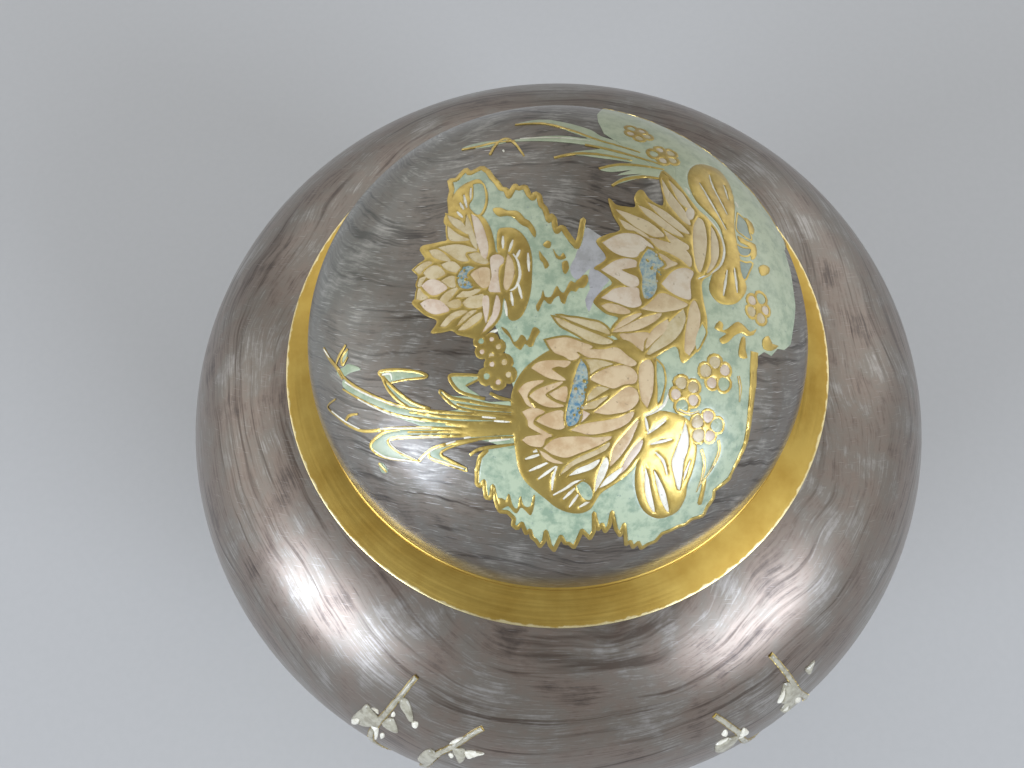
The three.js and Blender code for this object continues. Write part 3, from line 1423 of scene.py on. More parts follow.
def area(outline: Sequence[Vector]) -> float:
    """Returns twice the area of an outline, positive where it runs anticlockwise."""
    return sum(a.x * b.y - b.x * a.y for a, b in zip(outline, [*outline[1:], outline[0]]))


# The least share of a corner's sides that its mitre may be worked out from.
MITRE_LIMIT = 0.45


def grown(outline: Sequence[Vector], distance: float) -> list[Vector]:
    """Moves a closed outline outward.

    Args:
        outline: points in order.
        distance: how far it moves, or inward where negative.

    Returns:
        The moved outline.
    """
    reach = math.copysign(distance, area(outline) * distance)
    moved: list[Vector] = []
    for i, place in enumerate(outline):
        back = (place - outline[i - 1]).normalized()
        ahead = (outline[(i + 1) % len(outline)] - place).normalized()
        along = back + ahead
        share = max(along.length / 2, MITRE_LIMIT)
        along = along.normalized() if along.length > TINY else ahead
        moved.append(place + right_of(along) * (reach / share))
    return moved


def ribbon(path: Sequence[Vector], widths: Widths) -> list[Vector]:
    """Draws a band along a path.

    Args:
        path: points along its middle.
        widths: its half widths.

    Returns:
        Its outline.
    """
    start, middle, end = widths
    sides: tuple[list[Vector], list[Vector]] = ([], [])
    last = len(path) - 1
    for i, place in enumerate(path):
        along = (path[min(i + 1, last)] - path[max(i - 1, 0)]).normalized()
        right = right_of(along)
        share = i / last
        if share < 0.5:
            half = start + (middle - start) * share * 2
        else:
            half = middle + (end - middle) * (share * 2 - 1)
        sides[0].append(place + right * half)
        sides[1].append(place - right * half)
    return sides[0] + sides[1][::-1]


# Flame teeth vary: their pitch, how far they stand out and cut in, and how they lean, over the usual size.
TOOTH_PITCH = (0.6, 1.5)
TOOTH_OUT = (0.35, 1.0)
TOOTH_IN = (0.1, 0.6)
TOOTH_LEAN = (-0.5, 0.5)


def ragged(outline: Sequence[Vector], pitch: float, depth: float, chance: random.Random) -> list[Vector]:
    """Cuts flame teeth into an outline.

    Args:
        outline: closed outline, anticlockwise.
        pitch: length of half a tooth.
        depth: height of a tooth.
        chance: seeded source of variation.

    Returns:
        The toothed outline.
    """
    toothed: list[Vector] = []
    travelled = 0.0
    reach_on = pitch
    raised = False
    for i, here in enumerate(outline):
        ahead = outline[(i + 1) % len(outline)]
        travelled += (ahead - here).length
        if travelled < reach_on:
            continue
        travelled = 0.0
        reach_on = pitch * chance.uniform(*TOOTH_PITCH)
        along = (ahead - here).normalized()
        raised = not raised
        reach = depth * chance.uniform(*TOOTH_OUT) if raised else -depth * chance.uniform(*TOOTH_IN)
        toothed.append(here + right_of(along) * reach + along * (reach * chance.uniform(*TOOTH_LEAN)))
    return toothed


def nearest(points: Sequence[Vector]) -> KDTree:
    """Sorts flat points for a search.

    Args:
        points: points of a drawing.

    Returns:
        A tree that finds the nearest.
    """
    tree = KDTree(len(points))
    for i, point in enumerate(points):
        tree.insert((point.x, point.y, 0), i)
    tree.balance()
    return tree


@dataclass(frozen=True)
class Cut:
    """How a filling stands, in millimetres.

    Its height at the edge and on the crown, how far in the crown starts, and what the middle adds to it.
    """

    edge: float
    crown: float
    ease: float
    swell: float = 0.0


GILT_CUT = Cut(edge=0.15, crown=0.21, ease=0.3, swell=0.12)
ENAMEL_CUT = Cut(edge=0.09, crown=0.14, ease=0.5)
THICK_CUT = Cut(edge=0.16, crown=0.6, ease=1.1)


@dataclass
class Relief:
    """Raised ornament: outlines stamped one over another on a sheet, then cut into one solid per filling."""

    sheet: Sheet
    grain: float = 0.45
    clear: float = 0.4
    weld: float = 1e-4
    crease: float = 40.0
    sink: float = 0.06
    swell_width: float = 3.0
    fullness: float = 1.12
    gilt: Cut = GILT_CUT
    enamel: Cut = ENAMEL_CUT
    stamps: list[tuple[Tone, list[Vector]]] = field(default_factory=list)

    def stamp(self, tone: Tone, outline: list[Vector]) -> None:
        """Stamps one outline over what is there."""
        self.stamps.append((tone, outline if area(outline) > 0 else outline[::-1]))

    def stroke(self, tone: Tone, path: Sequence[Vector], half: float) -> None:
        """Stamps a line of even width with pointed joints.

        Args:
            tone: filling.
            path: its corners in order.
            half: half its width.
        """
        for start, end in zip(path, path[1:]):
            along = (end - start).normalized() * half
            side = right_of(along)
            corners = [start - along, start + side, end + side, end + along, end - side, start - side]
            self.stamp(tone, corners)

    def petal(self, tone: Tone, root: Vector, tip: Vector, plump: float, bend: float, line: float) -> None:
        """Stamps one filled petal with its gold line.

        Args:
            tone: filling.
            root: where it grows from.
            tip: its point.
            plump: width over length.
            bend: bulge to the right over length.
            line: width of the gold line.
        """
        half = self.fullness * plump * (tip - root).length / 2
        self.stamp(Tone.GOLD, blade(root, tip, half, bend, line))
        self.stamp(tone, blade(root, tip, half, bend))

    def _mesh_plane(self, filler: list[Vector]) -> tuple[list[Vector], list[tuple[int, ...]], list[Tone]]:
        """Cuts the plane along every outline.

        Args:
            filler: extra points inside.

        Returns:
            Points, triangles and the filling of each triangle.
        """
        points: list[Vector] = []
        faces: list[list[int]] = []
        for _, outline in self.stamps:
            faces.append(list(range(len(points), len(points) + len(outline))))
            points.extend(outline)
        cut = delaunay_2d_cdt(points + filler, [], faces, 1, self.weld)
        held = [(tuple(face), max(owners)) for face, owners in zip(cut[2], cut[5]) if owners]
        return cut[0], [face for face, _ in held], [self.stamps[owner][0] for _, owner in held]

    def _filler(self) -> list[Vector]:
        """Spreads points inside the ornament.

        Returns:
            A triangular grid of points, clear of the outlines.
        """
        points, triangles, _ = self._mesh_plane([])
        rim = nearest(points)
        row_step = self.grain * math.sqrt(3) / 2
        kept: dict[tuple[int, int], Vector] = {}
        for triangle in triangles:
            a, b, c = (points[i] for i in triangle)
            low_row = math.ceil(min(a.y, b.y, c.y) / row_step)
            high_row = math.floor(max(a.y, b.y, c.y) / row_step)
            for row in range(low_row, high_row + 1):
                y = row * row_step
                crossings = []
                for p, q in ((a, b), (b, c), (c, a)):
                    if min(p.y, q.y) <= y <= max(p.y, q.y) and p.y != q.y:
                        crossings.append(p.x + (q.x - p.x) * (y - p.y) / (q.y - p.y))
                if len(crossings) < 2:
                    continue
                shift = 0.5 * (row % 2)
                low = math.ceil(min(crossings) / self.grain - shift)
                high = math.floor(max(crossings) / self.grain - shift)
                for column in range(low, high + 1):
                    x = (column + shift) * self.grain
                    if (row, column) not in kept and rim.find((x, y, 0))[2] > self.clear * self.grain:
                        kept[row, column] = Vector((x, y))
        return [kept[key] for key in sorted(kept)]

    def meshes(self, name: str) -> dict[Tone, Mesh]:
        """Cuts the ornament into solids.

        Args:
            name: start of the meshes' names.

        Returns:
            One closed mesh per filling.
        """
        points, triangles, tones = self._mesh_plane(self._filler())
        made: dict[Tone, Mesh] = {}
        for tone in Tone:
            own = [triangle for triangle, label in zip(triangles, tones) if label is tone]
            if own:
                cut = self.gilt if tone is Tone.GOLD else self.enamel
                made[tone] = self._solid(f"{name}_{tone.value}", points, own, cut)
        return made

    def _solid(self, name: str, points: list[Vector], triangles: list[tuple[int, ...]], cut: Cut) -> Mesh:
        """Raises one filling into a closed solid.

        Args:
            name: name of the mesh.
            points: points of the plane.
            triangles: the filling's triangles.
            cut: how it stands.

        Returns:
            The closed mesh.
        """
        ways = {(t[i], t[(i + 1) % 3]) for t in triangles for i in range(3)}
        border = sorted((a, b) for a, b in ways if (b, a) not in ways)
        rim = nearest([place for a, b in border for place in (points[a], (points[a] + points[b]) / 2)])
        used = sorted({i for triangle in triangles for i in triangle})
        index = {old: new for new, old in enumerate(used)}
        top: list[Vector] = []
        bottom: list[Vector] = []
        for old in used:
            flat = points[old]
            inward = rim.find((flat.x, flat.y, 0))[2]
            share = min(inward / cut.ease, 1.0)
            lift = cut.edge + (cut.crown - cut.edge) * math.sqrt(1 - (1 - share) ** 2)
            lift += cut.swell * (1 - (1 - min(inward / self.swell_width, 1.0)) ** 2)
            top.append(self.sheet.lay(flat, lift))
            bottom.append(self.sheet.lay(flat, -self.sink))
        under = len(used)
        faces = [tuple(index[i] for i in triangle) for triangle in triangles]
        faces += [tuple(index[i] + under for i in reversed(triangle)) for triangle in triangles]
        faces += [(index[b], index[a], index[a] + under, index[b] + under) for a, b in border]
        mesh = bpy.data.meshes.new(name)
        mesh.from_pydata(top + bottom, [], faces)
        mesh.shade_smooth()
        mesh.set_sharp_from_angle(angle=math.radians(self.crease))
        return mesh


@dataclass(frozen=True)
class Lotus:
    """One flower as pixels of the photograph: gold leaves behind it, petals, a dotted centre, white strokes.

    A petal's outline starts at its point.
    """

    leaves: tuple[Outline, ...]
    petals: dict[Tone, tuple[Outline, ...]]
    centre: Outline
    strokes: tuple[Outline, ...]
    rim: float = 0.46
    bleed: float = 0.12
    stroke: Widths = (0.14, 0.3, 0.14)
    flecks: int = 26
    fleck_spread: tuple[float, float] = (0.2, 0.8)
    fleck_size: tuple[float, float] = (0.16, 0.36)
    fleck_corners: int = 5
    fleck_tones: tuple[Tone, ...] = (Tone.HUSK, Tone.TEAL, Tone.GOLD)
    seed: int = 5

    def draw(self, relief: Relief, sheet: DomeSheet) -> None:
        """Stamps the flower.

        Args:
            relief: ornament that takes it.
            sheet: the lid's drawing.
        """
        for leaf in self.leaves:
            relief.stamp(Tone.GOLD, sheet.curve(leaf, spans=4))
        for pixels in self.strokes:
            relief.stamp(Tone.PEARL, ribbon(sheet.curve(pixels, spans=4, closed=False), self.stroke))
        outlines = [(tone, outline) for tone, group in self.petals.items() for outline in group]
        petals = [(tone, pointed(sheet.trace_all(outline))) for tone, outline in outlines]
        for _, outline in petals:
            relief.stamp(Tone.GOLD, grown(outline, self.rim))
        for tone, outline in petals:
            relief.stamp(tone, grown(outline, self.bleed))
        centre = pointed(sheet.trace_all(self.centre), spans=3)
        relief.stamp(Tone.GOLD, grown(centre, self.rim))
        relief.stamp(Tone.LAPIS, centre)
        chance = random.Random(self.seed)
        for number in range(self.flecks):
            spot = chance.choice(centre).lerp(chance.choice(centre), chance.uniform(*self.fleck_spread))
            size = chance.uniform(*self.fleck_size)
            tone = self.fleck_tones[number % len(self.fleck_tones)]
            turn = chance.uniform(0, math.tau)
            turns = (turn + math.tau * k / self.fleck_corners for k in range(self.fleck_corners))
            relief.stamp(tone, [spot + heading(way) * size for way in turns])


FAR_LEFT_LOTUS = Lotus(
    leaves=(
        (498, 231, 505, 228, 515, 229, 523, 235, 529, 245, 532, 258, 532, 275, 531, 290, 528, 303, 522, 316,
         514, 321, 508, 317, 505, 300, 500, 288, 500, 260, 497, 248),
        (449, 216, 450, 204, 454, 195, 461, 187, 470, 182, 480, 180, 487, 190, 488, 203, 484, 214, 478, 217,
         470, 214, 458, 219),
        (449, 214, 465, 212, 474, 212, 483, 217, 490, 227, 494, 240, 497, 253, 506, 251, 513, 256, 515, 270,
         512, 286, 506, 293, 503, 303, 502, 313, 498, 322, 489, 332, 478, 339, 467, 337, 458, 335, 452, 331,
         441, 333, 431, 333, 436, 325, 436, 320, 426, 316, 416, 308, 412, 303, 416, 297, 417, 288, 418, 277,
         414, 270, 421, 263, 425, 259, 422, 254, 420, 250, 423, 246, 432, 244, 441, 242, 447, 240, 448, 230,
         444, 223, 445, 217),
    ),
    petals={
        Tone.SAND: (
            (448, 216, 455, 219, 461, 222, 465, 227, 468, 234, 462, 231, 456, 227, 451, 222),
            (448, 227, 454, 232, 460, 236, 469, 240, 462, 241, 453, 241, 449, 238),
            (467, 216, 470, 223, 473, 232, 476, 241, 477, 249, 472, 243, 469, 235, 466, 226),
            (439, 248, 448, 246, 458, 245, 468, 247, 477, 251, 467, 252, 465, 256, 468, 261, 461, 261,
             455, 258, 448, 253),
            (469, 255, 477, 253, 483, 256, 488, 262, 485, 264, 479, 263, 473, 260),
            (430, 251, 436, 250, 441, 252, 446, 256, 450, 261, 441, 260, 434, 257),
            (442, 265, 449, 262, 455, 263, 460, 268, 459, 272, 453, 272, 446, 269),
            (424, 273, 429, 268, 435, 266, 440, 268, 445, 274, 440, 277, 434, 279, 428, 278),
            (415, 270, 421, 265, 427, 262, 432, 263, 428, 266, 423, 270, 420, 274),
            (442, 281, 449, 277, 454, 277, 456, 281, 455, 287, 450, 287, 446, 284),
            (420, 279, 426, 277, 423, 282, 420, 287, 418, 285),
            (417, 299, 419, 289, 423, 294, 428, 298, 422, 300),
            (439, 302, 443, 296, 449, 291, 458, 288, 454, 294, 450, 299, 445, 304),
            (446, 304, 452, 301, 458, 300, 461, 303, 459, 307, 452, 308),
            (457, 297, 463, 292, 471, 290, 480, 290, 475, 294, 468, 297),
            (463, 303, 469, 298, 476, 296, 483, 295, 484, 301, 482, 306, 475, 308, 467, 307),
            (441, 326, 447, 318, 454, 313, 461, 311, 467, 312, 459, 316, 452, 320, 446, 326),
            (458, 325, 463, 318, 470, 312, 476, 311, 470, 316, 464, 321),
            (459, 330, 466, 323, 473, 317, 481, 313, 481, 318, 474, 324, 466, 329),
        ),
        Tone.BLUSH: (
            (472, 215, 478, 219, 483, 228, 487, 241, 488, 250, 486, 258, 482, 255, 478, 244, 475, 231),
            (422, 286, 428, 281, 434, 280, 440, 282, 447, 288, 442, 292, 436, 295, 430, 294),
            (421, 304, 427, 300, 434, 300, 441, 302, 449, 310, 442, 313, 434, 314, 426, 310),
            (486, 323, 484, 312, 483, 303, 484, 297, 488, 297, 489, 305, 488, 314),
            (483, 332, 492, 316, 494, 307, 497, 296, 500, 304, 499, 312, 496, 319, 491, 325),
            (500, 292, 494, 292, 489, 290, 492, 277, 491, 267, 491, 258, 497, 255, 503, 258, 503, 263,
             499, 267, 498, 277),
        ),
        Tone.PEACH: (
            (508, 255, 512, 261, 514, 271, 512, 281, 507, 290, 504, 285, 505, 275, 506, 265),
            (471, 275, 476, 270, 482, 268, 489, 269, 490, 277, 489, 285, 484, 288, 478, 284),
        ),
        Tone.JADE: (
            (474, 185, 482, 185, 485, 196, 484, 206, 480, 214, 475, 213, 470, 206, 474, 198),
        ),
    },
    centre=(
        475, 268, 470, 271, 467, 275, 468, 280, 473, 287, 468, 289, 461, 288, 458, 283, 458, 276, 462, 270,
        468, 266,
    ),
    strokes=(
        (503, 236, 503, 249), (513, 240, 509, 252), (528, 253, 529, 272), (518, 283, 522, 299),
        (511, 292, 513, 306),
        (513, 254, 518, 262, 520, 275, 516, 287, 510, 291),
        (457, 212, 463, 218), (460, 203, 464, 210), (464, 195, 467, 208), (471, 188, 471, 201),
        (498, 330, 490, 333), (485, 337, 476, 340), (505, 301, 507, 316), (520, 250, 516, 259),
    ),
)

FAR_RIGHT_LOTUS = Lotus(
    leaves=(
        (688, 183, 689, 171, 697, 165, 708, 166, 720, 172, 729, 185, 734, 205, 734, 225, 736, 240, 739, 255,
         743, 275, 746, 290, 738, 302, 728, 305, 717, 302, 709, 290, 712, 275, 720, 262, 724, 245, 718, 225,
         706, 212, 695, 200),
        (608, 200, 611, 200, 616, 205, 626, 207, 635, 207, 634, 198, 638, 191, 643, 191, 648, 198, 656, 204,
         663, 205, 662, 190, 659, 178, 663, 171, 672, 178, 681, 188, 690, 200, 700, 212, 712, 222, 722, 240,
         722, 262, 712, 274, 702, 282, 703, 300, 707, 322, 704, 342, 688, 360, 681, 362, 676, 347, 664, 352,
         646, 362, 632, 354, 616, 338, 610, 334, 612, 326, 618, 318, 606, 314, 595, 305, 594, 300, 602, 291,
         612, 283, 600, 272, 594, 268, 606, 258, 596, 242, 606, 235, 620, 230, 613, 216),
    ),
    petals={
        Tone.PEACH: (
            (616, 210, 626, 213, 636, 217, 646, 221, 656, 228, 664, 236, 655, 237, 646, 233, 637, 228,
             628, 221),
            (620, 220, 628, 224, 636, 229, 643, 233, 650, 239, 643, 236, 635, 231, 626, 229),
            (639, 206, 648, 210, 656, 215, 664, 221, 673, 228, 683, 237, 673, 234, 663, 228, 654, 221,
             646, 215),
            (648, 203, 656, 207, 665, 212, 674, 219, 682, 226, 689, 234, 680, 231, 670, 224, 660, 216),
            (662, 180, 668, 190, 674, 198, 681, 207, 687, 216, 690, 225, 683, 221, 675, 212, 668, 203,
             664, 192),
            (669, 181, 676, 188, 683, 195, 688, 203, 692, 210, 685, 207, 678, 200),
            (664, 231, 672, 236, 680, 241, 688, 246, 687, 250, 679, 248, 671, 243),
            (649, 238, 658, 240, 668, 243, 678, 246, 686, 251, 691, 259, 690, 267, 683, 261, 675, 256,
             667, 252, 658, 248),
            (657, 253, 664, 256, 671, 261, 677, 264, 670, 267, 664, 269, 660, 262),
            (698, 218, 703, 222, 706, 235, 706, 248, 704, 260, 700, 272, 696, 265, 694, 253, 693, 238,
             694, 226),
            (711, 227, 715, 234, 718, 245, 718, 256, 714, 266, 707, 273, 711, 262, 711, 250),
            (642, 309, 648, 305, 653, 300, 658, 295, 664, 294, 672, 297, 680, 301, 687, 305, 679, 309,
             669, 311, 659, 312),
            (602, 306, 608, 304, 616, 305, 624, 308, 630, 312, 623, 314, 616, 313, 608, 311),
            (614, 330, 620, 323, 627, 318, 634, 315, 641, 314, 634, 319, 626, 324),
            (613, 332, 624, 327, 632, 323, 641, 319, 651, 316, 661, 314, 656, 320, 648, 325, 639, 329,
             629, 331),
            (641, 354, 635, 350, 629, 344, 620, 335, 630, 334, 640, 333, 649, 334, 644, 341, 643, 349),
            (667, 320, 669, 328, 662, 334, 655, 340, 646, 348, 648, 338, 653, 330, 659, 325),
            (689, 355, 685, 351, 685, 341, 686, 330, 688, 318, 690, 307, 694, 301, 698, 308, 700, 318,
             698, 332, 695, 345),
        ),
        Tone.BLUSH: (
            (603, 243, 610, 239, 616, 236, 623, 234, 631, 234, 639, 236, 646, 241, 653, 248, 646, 250,
             640, 252, 636, 257, 628, 257, 620, 255, 612, 251),
            (602, 270, 609, 265, 616, 261, 626, 259, 635, 261, 637, 266, 629, 268, 621, 270, 628, 274,
             637, 278, 638, 285, 631, 287, 624, 284, 617, 279, 610, 275),
            (602, 298, 608, 294, 613, 290, 621, 288, 630, 288, 638, 289, 639, 297, 641, 304, 636, 307,
             629, 307, 621, 304, 612, 301),
            (662, 284, 667, 278, 673, 272, 680, 269, 687, 269, 693, 273, 690, 281, 690, 290, 690, 299,
             683, 298, 674, 294, 667, 289),
            (686, 213, 688, 209, 692, 209, 694, 213, 692, 219, 688, 219),
        ),
        Tone.SAND: (
            (683, 310, 685, 318, 683, 326, 679, 334, 671, 342, 661, 348, 647, 355, 652, 346, 659, 339,
             666, 331, 670, 322),
        ),
        Tone.JADE: (
            (702, 325, 705, 332, 702, 340, 697, 349, 696, 341, 698, 333),
        ),
        Tone.TEAL: (
            (738, 215, 745, 222, 748, 232, 750, 239, 743, 235, 737, 229),
            (737, 246, 743, 249, 750, 250, 747, 255, 740, 254),
            (740, 262, 746, 264, 751, 264, 748, 271, 744, 279, 741, 271),
        ),
    },
    centre=(
        648, 249, 654, 252, 659, 259, 664, 265, 657, 270, 656, 279, 657, 288, 652, 297, 645, 299, 642, 290,
        642, 277, 639, 266, 643, 256,
    ),
    strokes=(
        (699, 183, 709, 200, 726, 230), (709, 175, 713, 188, 727, 215), (723, 185, 728, 200),
        (727, 270, 723, 296), (734, 268, 737, 293), (735, 202, 738, 208),
        (706, 216, 716, 228, 722, 240, 724, 252, 721, 264, 713, 272, 698, 279),
        (686, 188, 690, 195),
    ),
)

NEAR_LOTUS = Lotus(
    leaves=(
        (533, 361, 519, 376, 512, 392, 511, 405, 513, 430, 516, 455, 519, 470, 526, 482, 536, 491, 546, 499,
         556, 507, 568, 512, 580, 513, 590, 509, 596, 500, 602, 492, 616, 483, 630, 472, 640, 457, 649, 440,
         658, 415, 664, 395, 662, 372, 655, 360, 640, 350, 625, 340, 600, 342, 560, 346),
        (644, 425, 648, 416, 658, 411, 670, 412, 684, 417, 692, 425, 696, 440, 696, 455, 692, 472, 687, 485,
         685, 497, 678, 510, 668, 516, 657, 518, 646, 513, 639, 503, 635, 488, 635, 472, 638, 460, 644, 448,
         643, 436),
    ),
    petals={
        Tone.PEACH: (
            (547, 341, 556, 339, 566, 338, 574, 340, 582, 343, 592, 347, 582, 351, 576, 352, 579, 357,
             571, 360, 564, 356, 556, 353, 551, 348),
            (578, 351, 590, 350, 604, 350, 614, 348, 620, 350, 627, 356, 636, 363, 631, 366, 621, 363,
             610, 360, 598, 358, 588, 357),
            (532, 368, 538, 363, 548, 361, 560, 361, 570, 362, 565, 367, 558, 366, 551, 369, 557, 374,
             565, 380, 554, 379, 545, 376),
            (519, 391, 524, 385, 531, 382, 543, 381, 535, 386, 530, 390, 527, 396, 529, 402, 534, 408,
             527, 404, 523, 397),
            (530, 396, 536, 391, 545, 387, 562, 382, 556, 387, 545, 394, 550, 400, 558, 404, 563, 406,
             552, 407, 543, 405, 536, 401),
            (550, 394, 557, 390, 565, 387, 567, 390, 566, 401, 560, 400, 555, 398),
            (523, 412, 530, 409, 537, 409, 544, 412, 538, 415, 534, 419, 533, 424, 538, 428, 551, 436,
             543, 434, 535, 430, 529, 426, 528, 420),
            (537, 421, 543, 416, 550, 413, 558, 411, 563, 412, 563, 420, 564, 427, 558, 429, 550, 427,
             543, 424),
            (523, 440, 527, 437, 534, 436, 542, 435, 551, 435, 545, 439, 542, 446, 534, 446, 528, 444),
            (540, 451, 546, 454, 553, 459, 562, 463, 553, 462, 545, 458),
            (544, 448, 552, 441, 560, 438, 572, 437, 584, 437, 596, 438, 611, 437, 602, 443, 591, 448,
             578, 453, 566, 457, 553, 454),
            (572, 430, 579, 426, 591, 423, 605, 421, 619, 418, 633, 412, 630, 420, 622, 426, 612, 430,
             600, 433, 588, 434, 580, 432),
            (595, 412, 602, 407, 608, 402, 614, 397, 620, 392, 626, 388, 632, 388, 637, 392, 638, 400,
             633, 407, 626, 411, 616, 413, 606, 414),
            (590, 379, 596, 374, 604, 370, 612, 367, 620, 366, 628, 367, 634, 371, 637, 377, 634, 383,
             624, 384, 614, 388, 606, 386, 598, 383),
            (647, 407, 642, 400, 640, 390, 639, 378, 640, 366, 645, 361, 650, 361, 653, 368, 653, 380,
             652, 392),
            (610, 466, 612, 456, 614, 448, 620, 440, 628, 431, 638, 420, 634, 432, 630, 441, 625, 449,
             618, 458),
        ),
        Tone.SAND: (
            (555, 318, 562, 320, 572, 325, 582, 329, 592, 333, 602, 337, 612, 342, 605, 344, 596, 343,
             587, 340, 579, 335, 570, 330, 561, 325),
            (560, 316, 568, 318, 578, 319, 588, 321, 598, 323, 606, 328, 609, 334, 600, 331, 590, 328,
             580, 324, 570, 320),
            (612, 364, 602, 361, 592, 360, 583, 361, 584, 371, 587, 376, 594, 371, 602, 367),
            (582, 409, 588, 404, 596, 401, 607, 397, 600, 403, 594, 408),
            (561, 474, 567, 466, 575, 460, 585, 455, 597, 450, 609, 443, 606, 449, 597, 454, 586, 459,
             575, 464, 568, 469),
            (608, 389, 600, 387, 594, 389, 590, 394, 585, 401, 593, 398, 601, 393),
        ),
        Tone.BLUSH: (
            (589, 414, 582, 411, 580, 415, 576, 424, 583, 420),
            (612, 478, 620, 470, 627, 457, 634, 447, 642, 440, 640, 449, 632, 460, 624, 470),
        ),
        Tone.PEARL: (
            (570, 475, 578, 469, 588, 465, 599, 460, 594, 467, 585, 471),
            (595, 491, 597, 478, 601, 466, 606, 458, 608, 464, 605, 474, 600, 483),
            (600, 487, 606, 479, 615, 472, 622, 468, 616, 477, 608, 483),
            (685, 423, 688, 438, 687, 450, 683, 462, 679, 489, 674, 474, 672, 461, 677, 447),
            (645, 468, 648, 478, 650, 490, 654, 511, 648, 502, 645, 488),
            (654, 471, 660, 482, 665, 494, 668, 511, 662, 502, 658, 489),
        ),
        Tone.JADE: (
            (577, 486, 583, 482, 589, 486, 592, 493, 590, 499, 583, 497),
            (657, 362, 662, 368, 664, 380, 662, 392, 658, 402, 658, 390, 657, 376),
        ),
    },
    centre=(
        581, 360, 586, 366, 588, 376, 587, 384, 584, 389, 585, 397, 583, 403, 580, 408, 580, 417, 576, 424,
        568, 426, 566, 417, 568, 404, 571, 392, 574, 380, 577, 369,
    ),
    strokes=(
        (533, 452, 541, 449), (525, 459, 541, 454), (529, 471, 549, 462), (538, 479, 556, 466),
        (552, 490, 553, 478, 557, 466), (553, 495, 566, 488, 575, 482, 585, 480), (563, 499, 576, 487),
        (569, 507, 579, 493), (579, 507, 591, 500), (645, 416, 656, 411, 665, 403, 670, 388),
        (645, 417, 648, 432), (647, 434, 666, 420), (650, 444, 672, 439), (655, 452, 663, 461, 667, 475),
        (681, 484, 690, 460), (663, 378, 661, 393),
    ),
)

# Outer edge of the unseen far side of the jade ground: where it starts and how it goes on, in degrees and
# millimetres from the lid's middle, and the height of each tooth.
FAR_START = (11.0, 51.8)
FAR_STEP = (3.0, 0.2)
FAR_COUNT = 21
FAR_TEETH = (0.0, 3.4, 0.8, 2.2, 1.2, 4.6, 0.4)

# Gold flame lines on the jade ground's near edges, point by point through their teeth.
TOP_FLAMES: Outline = (
    451, 212, 450, 200, 452, 190, 450, 181, 457, 180, 462, 174, 466, 170, 470, 174, 476, 171, 482, 168,
    488, 172, 492, 178, 497, 183, 501, 189, 506, 190, 509, 197, 512, 191, 515, 186, 518, 189, 525, 187,
    529, 195, 533, 199, 535, 194, 539, 196, 541, 205, 545, 209, 547, 215, 549, 221, 551, 216, 554, 219,
    555, 227, 557, 232, 560, 228, 563, 228, 566, 233, 571, 240, 577, 247, 580, 237, 583, 220,
)
SIDE_LINE: Outline = (
    754, 352, 753, 370, 752, 390, 750, 410, 748, 428, 745, 443, 740, 455, 734, 467, 729, 477,
)
LOW_FLAMES: Outline = (
    730, 477, 722, 484, 714, 490, 713, 498, 707, 506, 703, 515, 697, 517, 691, 519, 685, 524, 678, 526,
    670, 530, 662, 533, 655, 541, 647, 544, 641, 548, 638, 542, 633, 547, 630, 541, 626, 544, 624, 524,
    620, 535, 616, 529, 612, 512, 609, 526, 605, 531, 602, 524, 598, 529, 594, 513, 594, 530, 590, 538,
    586, 534, 582, 530, 578, 539, 574, 547, 569, 543, 565, 543, 561, 536, 557, 544, 554, 550, 550, 545,
    546, 531, 544, 541, 540, 546, 536, 540, 532, 537, 530, 530, 526, 533, 522, 523, 517, 528, 513, 525,
    514, 518, 508, 512, 500, 511, 497, 505, 493, 486, 491, 498, 486, 497, 484, 481, 481, 486, 477, 484,
    477, 470, 480, 457, 487, 450,
)
# The jade ground's edge where flowers, reeds or the far side hide it or leave it bare.
HIDDEN_EDGE: Outline = (587, 231, 612, 245, 640, 250, 664, 230, 668, 200, 671, 180, 655, 168, 628, 150)
FAR_EDGE: Outline = (604, 134, 598, 122, 597, 115)
RIGHT_EDGE: Outline = (
    784, 251, 788, 264, 791, 276, 793, 290, 795, 308, 793, 328, 790, 345, 784, 350, 777, 349, 771, 356,
    764, 352, 758, 356,
)
ROOT_EDGE: Outline = (500, 446, 514, 440, 516, 400, 510, 372, 503, 345, 495, 325, 486, 300, 474, 255)

LILAC_CLOUD: Outline = (
    585, 229, 590, 229, 597, 234, 604, 239, 601, 245, 606, 251, 611, 257, 604, 262, 600, 268, 605, 274,
    609, 281, 603, 287, 599, 296, 593, 302, 589, 312, 585, 300, 590, 289, 588, 278, 590, 269, 584, 274,
    578, 280, 572, 276, 570, 267, 575, 258, 577, 251, 582, 244,
)

